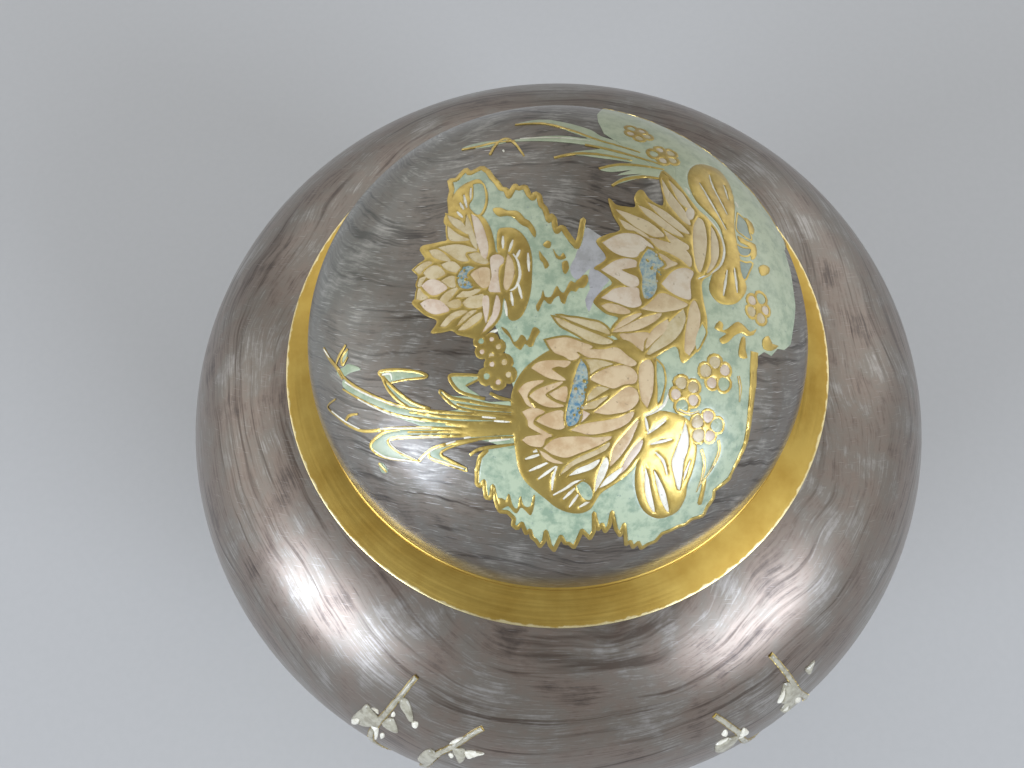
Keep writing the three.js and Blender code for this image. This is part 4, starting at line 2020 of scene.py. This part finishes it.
# Lightning strokes of bare gold in the jade.
LIGHTNING: tuple[Outline, ...] = (
    (536, 306, 541, 298, 543, 290, 545, 297, 551, 297, 554, 291, 557, 286, 560, 291, 564, 293, 568, 285,
     571, 281, 575, 283, 580, 277, 587, 275, 588, 282, 584, 288, 579, 288, 576, 292, 571, 291, 567, 297,
     565, 304, 561, 302, 559, 296, 554, 299, 551, 304, 547, 303, 544, 300, 541, 306, 538, 312),
    (501, 327, 507, 330, 511, 336, 514, 342, 518, 340, 521, 335, 525, 337, 527, 341, 530, 336, 533, 328,
     537, 328, 540, 332, 536, 338, 533, 346, 529, 347, 525, 344, 521, 350, 517, 348, 513, 344, 510, 338,
     505, 333),
    (493, 209, 500, 208, 508, 211, 516, 211, 521, 214, 525, 219, 529, 221, 533, 226, 536, 232, 535, 238,
     531, 233, 528, 228, 523, 226, 519, 223, 514, 218, 507, 216, 500, 217, 495, 214),
    (539, 251, 543, 256, 547, 261, 549, 266, 545, 269, 543, 263, 540, 260),
    (543, 245, 547, 241, 551, 243, 550, 248, 546, 248),
    (553, 249, 556, 254, 560, 257, 563, 253, 566, 258, 561, 260, 556, 258),
    (562, 263, 567, 261, 569, 268, 566, 274, 563, 272),
    (496, 499, 502, 498, 506, 500, 508, 494, 510, 495, 512, 503, 515, 508, 518, 507, 519, 499, 521, 496,
     523, 504, 527, 507, 531, 505, 533, 496, 535, 495, 534, 506, 531, 515, 527, 512, 523, 508, 520, 508,
     517, 513, 513, 511, 509, 506, 505, 507, 500, 509),
    (714, 328, 719, 321, 723, 325, 722, 330, 727, 329, 733, 324, 738, 322, 744, 326, 750, 332, 756, 329,
     753, 335, 746, 336, 741, 333, 734, 336, 728, 342, 722, 344, 719, 339, 726, 334, 721, 332),
    (738, 352, 741, 338, 745, 338, 745, 350, 747, 358, 740, 358),
    (758, 268, 763, 265, 769, 268, 768, 274, 761, 276),
    (744, 218, 750, 222, 754, 230, 752, 235, 747, 229),
    (737, 236, 746, 241, 755, 245, 756, 256, 751, 260, 748, 247, 740, 243),
    (762, 340, 768, 336, 772, 344, 778, 346, 771, 351, 763, 349),
    (697, 503, 700, 492, 703, 478, 706, 480, 704, 492, 701, 504),
)

# Each blossom's middle in pixels, its radius in millimetres and the share of its petals that is enamel.
BLOSSOMS: tuple[tuple[float, float, float, float], ...] = (
    (489, 347, 2.9, 0.55), (498, 372, 3.5, 0.5), (685, 394, 3.6, 1.0), (716, 374, 3.8, 1.0),
    (706, 427, 3.7, 1.1), (758, 308, 3.6, 0.95), (638, 134, 3.4, 0.8), (664, 156, 3.6, 0.8),
)

# Thin stems of the blossoms.
STEMS: tuple[Outline, ...] = (
    (718, 440, 719, 449, 716, 459, 709, 472, 700, 484),
    (701, 449, 704, 461, 702, 476, 696, 492), (738, 376, 740, 388, 739, 402),
    (678, 410, 690, 414, 699, 411),
)

# Green of the reeds, as outlines, the gold lines on it, and cream lines painted beside the gold as its
# highlight.
REED_FILLS: tuple[Outline, ...] = (
    (516, 405, 490, 402, 470, 397, 455, 396, 446, 394, 440, 391, 450, 402, 460, 409, 440, 411, 420, 409,
     400, 406, 380, 399, 360, 389, 346, 379, 343, 386, 356, 397, 378, 409, 398, 418, 420, 426, 400, 428,
     385, 431, 375, 439, 371, 447, 380, 454, 395, 459, 419, 461, 404, 454, 391, 446, 389, 440, 403, 437,
     440, 437, 470, 438, 490, 442, 516, 447),
    (430, 409, 412, 402, 396, 390, 385, 379, 380, 372, 388, 389, 398, 400, 412, 408),
    (381, 372, 395, 370, 410, 371, 420, 373, 427, 377, 414, 379, 400, 380, 391, 383),
    (475, 399, 463, 394, 455, 387, 450, 376, 465, 375, 481, 377, 474, 381, 466, 386, 480, 396),
    (467, 470, 450, 461, 440, 454, 449, 448, 472, 441, 450, 443, 436, 448, 429, 453, 432, 459),
    (344, 367, 349, 364, 361, 369, 350, 373, 342, 378, 337, 372),
    (341, 361, 343, 354, 348, 349, 347, 357, 343, 366),
    (379, 463, 384, 464, 388, 472, 382, 472),
    (672, 184, 650, 177, 625, 182, 612, 186, 622, 178, 642, 174, 618, 175, 632, 170, 612, 172, 599, 169,
     615, 164, 632, 163, 600, 158, 575, 155, 554, 158, 575, 152, 600, 149, 585, 145, 560, 142, 535, 141,
     505, 142, 530, 138, 560, 136, 588, 139, 570, 132, 545, 124, 515, 125, 540, 120, 565, 123, 590, 130,
     600, 136, 612, 140, 635, 147, 660, 155, 674, 165),
    (462, 149, 475, 144, 494, 141, 512, 140, 494, 146, 480, 148),
)
REED_GOLD: tuple[Outline, ...] = (
    (516, 411, 480, 408, 457, 404), (516, 420, 475, 418, 440, 416, 410, 412),
    (516, 425, 470, 426, 446, 424), (516, 430, 480, 432, 450, 432, 408, 432),
    (516, 408, 490, 405, 470, 401, 452, 398, 440, 391, 448, 401, 459, 408, 480, 412, 516, 414),
    (516, 417, 470, 414, 430, 411, 400, 406, 380, 399, 360, 389, 346, 379, 340, 370, 331, 359),
    (516, 422, 470, 423, 430, 420, 400, 416, 380, 409, 360, 399, 343, 389),
    (516, 427, 470, 429, 430, 428, 400, 428, 380, 430, 364, 431, 350, 426, 337, 416, 328, 407, 336, 399),
    (516, 433, 480, 435, 450, 436, 405, 437, 389, 440, 392, 447, 405, 455, 419, 461),
    (400, 429, 385, 432, 374, 440, 371, 447, 380, 455, 395, 459, 419, 461),
    (419, 461, 428, 452, 440, 446, 470, 440, 490, 438, 516, 437),
    (429, 452, 431, 458, 445, 463, 467, 470, 451, 461, 441, 454, 451, 447, 478, 440),
    (470, 455, 480, 449, 500, 446, 516, 444),
    (430, 409, 412, 402, 396, 390, 384, 378, 380, 372, 397, 370, 418, 372, 427, 377, 404, 380, 391, 383),
    (410, 408, 398, 400, 388, 389, 382, 377),
    (485, 399, 463, 393, 454, 386, 450, 376, 465, 375, 482, 377, 466, 386),
    (490, 393, 500, 398, 516, 401), (324, 348, 330, 359, 336, 367, 343, 379),
    (346, 345, 339, 357, 336, 366),
    (361, 369, 350, 365, 343, 368, 350, 373, 361, 369),
    (348, 349, 342, 358, 343, 365, 348, 357), (345, 424, 349, 416, 358, 414), (379, 463, 387, 472),
    (462, 150, 478, 147, 495, 143, 515, 141),
    (490, 155, 496, 145, 505, 139, 514, 143, 524, 156),
    (554, 158, 575, 154, 600, 155, 632, 161), (599, 169, 618, 165, 640, 166, 664, 170),
    (612, 186, 624, 180, 645, 177, 664, 180), (585, 145, 605, 149, 635, 157, 664, 166),
    (515, 125, 545, 124, 572, 131, 600, 141, 640, 153),
)
# Cream lines painted along the gold where a lamp would catch it: painted highlights.
REED_PAINTED_GLINTS: tuple[Outline, ...] = (
    (358, 399, 380, 410, 400, 417, 425, 422), (380, 429, 405, 428, 432, 428),
    (440, 437, 405, 437, 390, 440, 396, 449, 418, 460),
    (374, 450, 386, 457, 404, 460, 419, 462), (420, 460, 429, 452, 440, 446),
    (430, 458, 446, 463, 464, 469), (446, 444, 456, 441), (482, 417, 496, 418), (494, 421, 510, 422),
    (324, 349, 330, 358), (489, 441, 510, 439), (345, 382, 360, 391, 380, 400, 400, 407),
    (464, 438, 471, 437), (382, 375, 390, 374, 392, 380), (503, 150, 504, 152),
    (520, 139, 560, 138, 590, 141), (332, 411, 345, 421, 360, 429),
)


@dataclass(frozen=True)
class Blossom:
    """A five-petalled flower, a little uneven, in shares of its radius. Its gold line is in millimetres."""

    sizes: tuple[float, ...] = (1.0, 0.86, 1.06, 0.9, 0.97)
    tones: tuple[Tone, ...] = (Tone.SAND, Tone.BLUSH, Tone.REED, Tone.BLUSH, Tone.SAND)
    corners: int = 12
    middle: float = 0.58
    half: float = 0.35
    swell: float = 0.06
    line: float = 0.4
    fill: float = 0.9
    web: float = 0.8
    heart: float = 0.2
    heart_corners: int = 6

    def stamp(self, relief: Relief, place: Vector, radius: float, turn: float, filled: float = 1.0) -> None:
        """Stamps one flower.

        Args:
            relief: ornament that takes it.
            place: its middle.
            radius: its radius in millimetres.
            turn: its turn in radians.
            filled: how much of the usual fill is enamel.
        """
        shape: Profile = []
        for k in range(self.corners):
            angle = math.tau * k / self.corners
            wide = self.half + self.swell * math.cos(angle)
            shape.append((self.middle + self.half * math.cos(angle), wide * math.sin(angle)))
        petals: list[list[Vector]] = []
        for i, size in enumerate(self.sizes):
            out = heading(math.tau * i / len(self.sizes) + turn)
            side = -right_of(out)
            reach = radius * size
            petals.append([place + (out * along + side * across) * reach for along, across in shape])
        relief.stamp(Tone.GOLD, [place + (petal[0] - place) * self.web for petal in petals])
        for petal in petals:
            relief.stamp(Tone.GOLD, grown(petal, self.line))
        for petal, tone in zip(petals, self.tones):
            core = sum(petal, Vector((0.0, 0.0))) / len(petal)
            relief.stamp(tone, [core + (corner - core) * self.fill * filled for corner in petal])
        ways = map(heading, range(self.heart_corners))
        relief.stamp(Tone.GOLD, [place + way * radius * self.heart for way in ways])


BLOSSOM = Blossom()


@dataclass
class LidOrnament:
    """The flowers, reeds and jade ground on the lid, traced from the photo. Half widths in millimetres."""

    sheet: DomeSheet
    top_flame: float = 0.55
    low_flame: float = 0.42
    side_line: Widths = (0.95, 0.6, 0.35)
    reed_gold: Widths = (0.272, 0.34, 0.17)
    reed_painted_glint: Widths = (0.16, 0.2, 0.1)
    stem: Widths = (0.3, 0.34, 0.1)
    stem_shine: Widths = (0.08, 0.12, 0.05)

    def draw_ground(self, relief: Relief) -> None:
        """Stamps the jade ground with its gold flame edges, its lightning and the lilac cloud.

        Args:
            relief: ornament that takes it.
        """
        edges = (RIGHT_EDGE, SIDE_LINE, LOW_FLAMES, ROOT_EDGE, TOP_FLAMES, HIDDEN_EDGE, FAR_EDGE)
        near = [place for edge in edges for place in self.sheet.trace_all(edge)]
        beyond: list[Vector] = []
        for i in range(FAR_COUNT):
            degrees, reach = (start + step * i for start, step in zip(FAR_START, FAR_STEP))
            beyond.append(self.sheet.spot(degrees, reach + FAR_TEETH[i % len(FAR_TEETH)]))
        relief.stamp(Tone.JADE, near + beyond)
        relief.stroke(Tone.GOLD, beyond, self.low_flame)
        relief.stroke(Tone.GOLD, self.sheet.trace_all(TOP_FLAMES), self.top_flame)
        relief.stroke(Tone.GOLD, self.sheet.trace_all(LOW_FLAMES), self.low_flame)
        relief.stamp(Tone.GOLD, ribbon(self.sheet.trace_all(SIDE_LINE), self.side_line))
        for stroke in LIGHTNING:
            relief.stamp(Tone.GOLD, self.sheet.curve(stroke, spans=2))
        relief.stamp(Tone.LILAC, self.sheet.curve(LILAC_CLOUD, spans=2))

    def draw_reeds(self, relief: Relief) -> None:
        """Stamps the reeds: green leaves, gold lines along them and cream lines painted beside the gold as
        its highlight.

        Args:
            relief: ornament that takes it.
        """
        for outline in REED_FILLS:
            relief.stamp(Tone.REED, self.sheet.curve(outline, spans=3))
        kinds = ((REED_GOLD, Tone.GOLD, self.reed_gold), (REED_PAINTED_GLINTS, Tone.PEARL, self.reed_painted_glint))
        for lines, tone, widths in kinds:
            for pixels in lines:
                relief.stamp(tone, ribbon(self.sheet.curve(pixels, spans=5, closed=False), widths))

    def draw_blossoms(self, relief: Relief) -> None:
        """Stamps the small five-petalled blossoms and their stems.

        Args:
            relief: ornament that takes it.
        """
        for number, (across, down, radius, filled) in enumerate(BLOSSOMS):
            BLOSSOM.stamp(relief, self.sheet.trace((across, down)), radius, number, filled)
        for stem in STEMS:
            path = self.sheet.curve(stem, spans=4, closed=False)
            relief.stamp(Tone.GOLD, ribbon(path, self.stem))
            relief.stamp(Tone.PEARL, ribbon(path, self.stem_shine))

    def build(self) -> None:
        """Draws the ornament and cuts it into one piece per filling."""
        relief = Relief(self.sheet)
        self.draw_ground(relief)
        self.draw_reeds(relief)
        for flower in (FAR_LEFT_LOTUS, FAR_RIGHT_LOTUS, NEAR_LOTUS):
            flower.draw(relief, self.sheet)
        self.draw_blossoms(relief)
        for tone, mesh in relief.meshes("lid").items():
            mesh.materials.append(FILLINGS[tone].material())
            place_piece(link_object(mesh.name, mesh), "lid", tone.slot)


# Each sprig's stem: pixels of the photograph, then degrees from the frieze's middle and heights.
SPRIG_STEMS: tuple[tuple[Outline, Profile], ...] = (
    (
        (417, 676, 410, 684, 403, 693, 395, 702, 387, 712, 379, 721),
        [(-33.2, 136), (-33, 126), (-31, 112), (-27, 97), (-20, 80), (-9.2, 60)],
    ),
    (
        (483, 728, 475, 732, 466, 738, 457, 744, 447, 749, 436, 755),
        [(-24.8, 130), (-25.6, 119), (-23.5, 104), (-17, 80), (-8, 64)],
    ),
    (
        (770, 654, 778, 663, 786, 673, 793, 683, 799, 692),
        [(32.2, 132), (33, 124), (36, 112), (42, 98), (50, 80), (57, 62)],
    ),
    (
        (714, 715, 722, 720, 730, 726, 738, 732),
        [(21, 134), (22.5, 126), (27, 112), (34, 98), (43, 80), (52, 60)],
    ),
)

# Thick leaves and buds of the sprigs, and pearl dots painted on as glints where light catches them, as
# outlines.
SPRIG_LEAVES: tuple[tuple[Tone, Outline], ...] = (
    (Tone.HUSK, (401, 697, 407, 699, 411, 707, 413, 716, 413, 722, 409, 720, 405, 713, 400, 705)),
    (Tone.PEARL, (412, 721, 417, 721, 419, 724, 417, 728, 412, 726)),
    (Tone.PEARL, (391, 713, 394, 711, 396, 715, 394, 717, 391, 716)),
    (Tone.HUSK, (367, 704, 373, 711, 379, 717, 381, 723, 376, 727, 369, 726, 361, 724, 355, 721, 352, 718,
     356, 713, 361, 709)),
    (Tone.PEARL, (352, 718, 359, 717, 361, 721, 357, 724, 352, 722)),
    (Tone.PEARL, (371, 707, 378, 709, 379, 714, 375, 711)),
    (Tone.HUSK, (382, 723, 387, 718, 393, 718, 396, 724, 398, 732, 393, 731, 386, 727)),
    (Tone.PEARL, (371, 725, 379, 728, 378, 738, 375, 738, 374, 730)),
    (Tone.PEARL, (380, 733, 384, 733, 385, 737, 381, 738)),
    (Tone.PEARL, (464, 736, 457, 738, 451, 741, 449, 744, 455, 743, 461, 740)),
    (Tone.HUSK, (453, 748, 463, 748, 466, 753, 464, 760, 459, 762, 456, 756)),
    (Tone.PEARL, (464, 751, 472, 750, 485, 753, 477, 756, 468, 758)),
    (Tone.PEARL, (448, 753, 453, 753, 454, 757, 450, 757)),
    (Tone.HUSK, (418, 758, 424, 751, 431, 749, 437, 754, 433, 760, 426, 763)),
    (Tone.HUSK, (784, 683, 791, 682, 797, 687, 800, 693, 798, 700, 792, 705, 785, 711, 780, 710, 785, 703,
     779, 702, 780, 696, 782, 689)),
    (Tone.PEARL, (777, 703, 779, 697, 784, 687, 785, 692, 782, 700)),
    (Tone.PEARL, (794, 698, 797, 696, 801, 697, 797, 702, 793, 702)),
    (Tone.PEARL, (781, 711, 784, 707, 788, 704, 787, 708)),
    (Tone.HUSK, (805, 669, 809, 665, 814, 660, 812, 667, 809, 674, 806, 672)),
    (Tone.PEARL, (721, 734, 725, 729, 728, 731, 727, 735, 723, 736)),
    (Tone.PEARL, (737, 739, 739, 733, 744, 727, 749, 731, 745, 734, 740, 737)),
    (Tone.HUSK, (716, 745, 722, 740, 731, 737, 738, 736, 734, 742, 728, 747, 720, 751, 715, 751)),
    (Tone.PEARL, (715, 745, 721, 740, 729, 737, 724, 741)),
)

# Long leaves that rise from a clump: sideways reach of the tip in degrees, its height and the leaf's width.
CLUMP_LEAVES: tuple[tuple[float, float, float], ...] = (
    (27, 84, 3.6), (23, 104, 3.8), (15, 119, 4.2), (6, 126, 4.0), (-3, 122, 4.0), (-11, 126, 4.2),
    (-19, 114, 4.0), (-26, 99, 3.6), (-30, 76, 3.4), (31, 66, 3.2),
)

# Blossoms on the plum branch: degrees from the frieze's middle, height and radius.
BRANCH_FLOWERS: tuple[tuple[float, float, float], ...] = (
    (6, 120, 4.2), (10, 108, 5.0), (-1, 97, 5.2), (-14, 107, 4.8), (-9, 92, 3.8), (4, 85, 4.4),
)

# Round lotus leaves: degrees from the frieze's middle, height and size.
PADS: tuple[tuple[float, float, float], ...] = ((33, 80, 1.0), (-13, 74, 1.0), (-4, 50, 0.9), (16, 64, 0.75))

# The open flower's rows of petals: filling, angles from upright, where they start and end over the flower's
# size, and width over length.
LOTUS_ROWS: tuple[tuple[Tone, tuple[float, ...], float, float, float], ...] = (
    (Tone.BLUSH, (84, -84, 60, -60, 36, -36, 12, -12), 0.30, 1.0, 0.40),
    (Tone.PEACH, (72, -72, 44, -44, 20, -20), 0.16, 0.78, 0.50),
    (Tone.BLUSH, (96, -96, 52, -52, 0), 0.02, 0.56, 0.62),
)

# The plum branch and its twig: degrees from the frieze's middle and heights.
BRANCH: Profile = [(-18, 38), (-10, 58), (-5, 78), (3, 94), (8, 109), (6, 119)]
TWIG: Profile = [(-5, 78), (-9, 94), (-14, 106)]


@dataclass
class BellyFrieze:
    """Three like clumps of lotus round the belly, and thick sprigs up the front of the shoulder.

    Heights and sizes in millimetres, places round the belly in degrees.
    """

    sheet: BellySheet
    count: int = 3
    clump: float = 60.0
    clump_foot: float = 26.0
    leaf_foot: float = 0.16
    leaf_knee: tuple[float, float] = (0.42, 0.62)
    leaf_root: float = 0.3
    leaf_middle: float = 0.55
    leaf_tip: float = 0.1
    leaf_line: tuple[float, float] = (0.35, 0.5)
    vein: Widths = (0.2, 0.24, 0.1)
    wave_rows: int = 3
    wave_count: int = 11
    wave_start: float = -50.0
    wave_pitch: float = 10.0
    wave_half: float = 4.0
    wave_lean: float = 1.0
    wave_rise: float = 3.2
    wave_drop: float = 3.0
    wave_climb: float = 5.0
    wave: Widths = (0.15, 0.6, 0.15)
    flower_height: float = 92.0
    flower_size: float = 27.0
    stem_heights: tuple[float, ...] = (50.0, 75.0)
    stem: Widths = (1.4, 1.1, 1.0)
    petal_bend: float = 0.08
    petal_line: float = 0.6
    sepals: tuple[float, ...] = (128.0, -128.0, 180.0)
    sepal_reach: float = 0.42
    sepal_plump: float = 0.45
    sepal_line: float = 0.5
    pad_size: float = 14.0
    pad_oval: tuple[float, float] = (1.25, 0.62)
    pad_ripple: float = 0.08
    pad_lobes: int = 5
    pad_corners: int = 60
    pad_tooth: tuple[float, float] = (1.6, 1.0)
    pad_fill: float = 0.88
    pad_veins: int = 9
    pad_vein_reach: float = 0.78
    pad_vein: float = 0.55
    branch: Widths = (1.6, 1.1, 0.3)
    twig: Widths = (0.9, 0.7, 0.2)
    sprig: Widths = (0.7, 0.85, 0.8)
    sprig_fill: Widths = (0.56, 0.7, 0.6)
    glint_shrink: float = 0.12
    seed: int = 11

    def draw_clump(self, relief: Relief) -> None:
        """Stamps the long leaves and the waves at their foot.

        Args:
            relief: ornament that takes it.
        """
        for reach, height, width in CLUMP_LEAVES:
            aside, up = self.leaf_knee
            foot = (self.clump + reach * self.leaf_foot, self.clump_foot)
            knee = (self.clump + reach * aside, self.clump_foot + up * (height - self.clump_foot))
            path = self.sheet.path((foot, knee, (self.clump + reach, height)), spans=12)
            root, middle = width * self.leaf_root, width * self.leaf_middle
            relief.stamp(Tone.GOLD, ribbon(path, (root, middle, self.leaf_tip)))
            inner = (root - self.leaf_line[0], middle - self.leaf_line[1], self.leaf_tip)
            relief.stamp(Tone.REED, ribbon(path[:-2], inner))
            relief.stamp(Tone.GOLD, ribbon(path[2:-6], self.vein))
        for row in range(self.wave_rows):
            for i in range(self.wave_count):
                at = self.clump + self.wave_start + self.wave_pitch * (i + row % 2 / 2)
                height = self.clump_foot - self.wave_drop + self.wave_climb * row
                crest = (at + self.wave_lean, height + self.wave_rise)
                spots = ((at - self.wave_half, height), crest, (at + self.wave_half, height))
                relief.stamp(Tone.GOLD, ribbon(self.sheet.path(spots, spans=8), self.wave))

    def draw_pads(self, relief: Relief) -> None:
        """Stamps the round lotus leaves with their veins.

        Args:
            relief: ornament that takes it.
        """
        chance = random.Random(self.seed)
        for degrees, height, size in PADS:
            middle = self.sheet.spot(degrees, height)
            rim: list[Vector] = []
            wide, high = self.pad_oval
            for i in range(self.pad_corners):
                turn = math.tau * i / self.pad_corners
                ripple = self.pad_ripple * math.sin(self.pad_lobes * turn + degrees)
                reach = size * self.pad_size * (1 + ripple)
                rim.append(middle + Vector((wide * math.cos(turn), high * math.sin(turn))) * reach)
            relief.stamp(Tone.GOLD, ragged(rim, *self.pad_tooth, chance))
            relief.stamp(Tone.JADE, [middle + (place - middle) * self.pad_fill for place in rim])
            for i in range(self.pad_veins):
                turn = math.tau * i / self.pad_veins + degrees
                way = Vector((wide * math.cos(turn), high * math.sin(turn))) * (size * self.pad_size)
                relief.stamp(Tone.GOLD, blade(middle, middle + way * self.pad_vein_reach, self.pad_vein))

    def draw_lotus(self, relief: Relief) -> None:
        """Stamps the clump's open flower, outer petals first.

        Args:
            relief: ornament that takes it.
        """
        base = self.sheet.spot(self.clump, self.flower_height)
        heights = (self.clump_foot, *self.stem_heights, self.flower_height)
        stem = [self.sheet.spot(self.clump, height) for height in heights]
        relief.stamp(Tone.GOLD, ribbon(stem, self.stem))
        for tone, angles, start, reach, plump in LOTUS_ROWS:
            for angle in angles:
                way = bearing(angle) * self.flower_size
                bend = self.petal_bend * angle / 90
                relief.petal(tone, base + way * start, base + way * reach, plump, bend, self.petal_line)
        for angle in self.sepals:
            way = bearing(angle) * self.flower_size
            tip = base + way * self.sepal_reach
            relief.petal(Tone.REED, base, tip, self.sepal_plump, bend=0.0, line=self.sepal_line)

    def draw_sprigs(self, relief: Relief) -> None:
        """Stamps the sprigs that the photograph shows, with stems that go on down to the clumps.

        Args:
            relief: ornament that takes it.
        """
        for pixels, spots in SPRIG_STEMS:
            points = [*self.sheet.trace_all(pixels), *(self.sheet.spot(*spot) for spot in spots)]
            path = curve_through(points, spans=6, closed=False)
            relief.stamp(Tone.GOLD, ribbon(path, self.sprig))
            relief.stamp(Tone.HUSK, ribbon(path[1:], self.sprig_fill))
        for tone, outline in SPRIG_LEAVES:
            # The pearl marks are painted highlights, drawn a little smaller than traced.
            shrink = self.glint_shrink if tone is Tone.PEARL else 0.0
            relief.stamp(tone, grown(self.sheet.curve(outline, spans=4), -shrink))

    def draw_branch(self, relief: Relief) -> None:
        """Stamps the branch of plum blossom between the clumps.

        Args:
            relief: ornament that takes it.
        """
        for spots, widths in ((BRANCH, self.branch), (TWIG, self.twig)):
            relief.stamp(Tone.GOLD, ribbon(self.sheet.path(spots, spans=8), widths))
        for number, (degrees, height, radius) in enumerate(BRANCH_FLOWERS):
            BLOSSOM.stamp(relief, self.sheet.spot(degrees, height), radius, number)

    def tree(self) -> NodeTree:
        """Makes the tree that sets copies of a drawing evenly round the axis.

        Returns:
            The tree, made on first use.
        """
        found = bpy.data.node_groups.get("round_repeat")
        if found:
            return found
        tree, given = new_geometry_tree("round_repeat", {"Count": "Int"})
        spots = add_node(tree, "GeometryNodePoints", {"Count": given.outputs["Count"]})
        step = add_node(tree, "ShaderNodeMath", {0: math.tau, 1: given.outputs["Count"]}, operation="DIVIDE")
        index = add_node(tree, "GeometryNodeInputIndex")
        turn = add_node(tree, "ShaderNodeMath", {0: index, 1: step}, operation="MULTIPLY")
        turned = add_node(tree, "ShaderNodeCombineXYZ", {"Z": turn})
        ring = {"Points": spots, "Instance": given.outputs["Geometry"], "Rotation": turned}
        end_geometry_tree(tree, add_node(tree, "GeometryNodeInstanceOnPoints", ring), given)
        return tree

    def build(self) -> None:
        """Draws one part of the frieze, cuts it and repeats it round the belly, then adds the sprigs."""
        clumps = Relief(self.sheet, grain=1.0)
        self.draw_clump(clumps)
        self.draw_pads(clumps)
        self.draw_branch(clumps)
        self.draw_lotus(clumps)
        sprigs = Relief(self.sheet, gilt=THICK_CUT, enamel=THICK_CUT)
        self.draw_sprigs(sprigs)
        for name, relief, count in (("belly_frieze", clumps, self.count), ("belly_sprig", sprigs, 1)):
            for tone, mesh in relief.meshes("flat_" + name).items():
                values = {"Count": count, "Material": FILLINGS[tone].material()}
                piece = bake_nodes(f"{name}_{tone.value}", mesh, self.tree(), values)
                place_piece(piece, "pot", tone.slot)


# Studio


@dataclass(frozen=True)
class SoftBox:
    """A square studio lamp that looks at the jar. Degrees from the front, metres and watts."""

    name: str
    azimuth: float
    elevation: float
    distance: float
    size: float
    power: float
    colour: str = "#ffffff"
    aim_height: float = 0.14

    def build(self) -> None:
        """Hangs the lamp."""
        lamp = bpy.data.lights.new(self.name, "AREA")
        lamp.size = self.size
        lamp.energy = self.power
        lamp.color = linear(self.colour)[:3]
        turn, rise = math.radians(self.azimuth), math.radians(self.elevation)
        aim = Vector((0, 0, self.aim_height))
        way = Vector((math.sin(turn) * math.cos(rise), -math.cos(turn) * math.cos(rise), math.sin(rise)))
        facing = way.to_track_quat("Z", "Y").to_matrix().to_4x4()
        hung = link_object(self.name, lamp)
        hung.matrix_world = Matrix.Translation(aim + way * self.distance) @ facing


@dataclass
class Studio:
    """Pale paper floor, a soft sky and the lamps."""

    floor_size: float = 4.0
    sky: str = "#eceff2"
    sky_strength: float = 0.46
    lamps: tuple[SoftBox, ...] = (
        SoftBox("lamp_left", -53.0, 20.0, 1.6, 0.74, 20.5, "#e4eeff"),
        SoftBox("lamp_right", 52.0, 28.0, 1.6, 0.72, 18.0, "#e4eeff"),
        SoftBox("lamp_back", -150.0, 28.0, 2.4, 2.2, 12.5),
        SoftBox("lamp_side", -92.0, 16.0, 2.2, 1.5, 7.6),
        SoftBox("lamp_over", 75.0, 57.0, 1.8, 0.9, 2.0),
        SoftBox("lamp_far", 126.0, 14.0, 2.2, 1.6, 8.5),
        SoftBox("lamp_beside", 92.0, 20.0, 2.2, 1.5, 3.4),
    )

    def build(self) -> None:
        """Lays the floor, paints the sky and hangs the lamps."""
        half = self.floor_size / 2
        mesh = bpy.data.meshes.new("floor")
        corners = [(-half, -half, 0), (half, -half, 0), (half, half, 0), (-half, half, 0)]
        mesh.from_pydata(corners, [], [(0, 1, 2, 3)])
        mesh.materials.append(StudioPaper("paper_backdrop").material())
        link_object("floor", mesh)
        world = bpy.data.worlds.new("studio_sky")
        world.use_nodes = True
        tree = world.node_tree
        tree.nodes.clear()
        glow = {"Color": linear(self.sky), "Strength": self.sky_strength}
        sky = add_node(tree, "ShaderNodeBackground", glow)
        add_node(tree, "ShaderNodeOutputWorld", {"Surface": sky})
        bpy.context.scene.world = world
        for lamp in self.lamps:
            lamp.build()
        bpy.context.scene.view_settings.view_transform = "Standard"


def main() -> None:
    """Builds the jar, the studio and the camera in order."""
    logging.basicConfig(level=logging.INFO, format="%(name)s: %(message)s")
    camera = PhotoCamera()
    camera.build()
    Studio().build()
    pot = Pot()
    pot.build()
    outer = pot.outer_line()
    shoulder = [place for place in outer if place[1] >= pot.belly_height]
    sheet = BellySheet(Section(outer), Section(shoulder), pot.belly_radius, pot.frieze_middle, camera)
    BellyFrieze(sheet).build()
    lid = Lid()
    lid.build()
    LidOrnament(DomeSheet(Section(lid.dome_line(0.0, lid.chart_steps)), camera)).build()


if __name__ == "__main__":
    main()
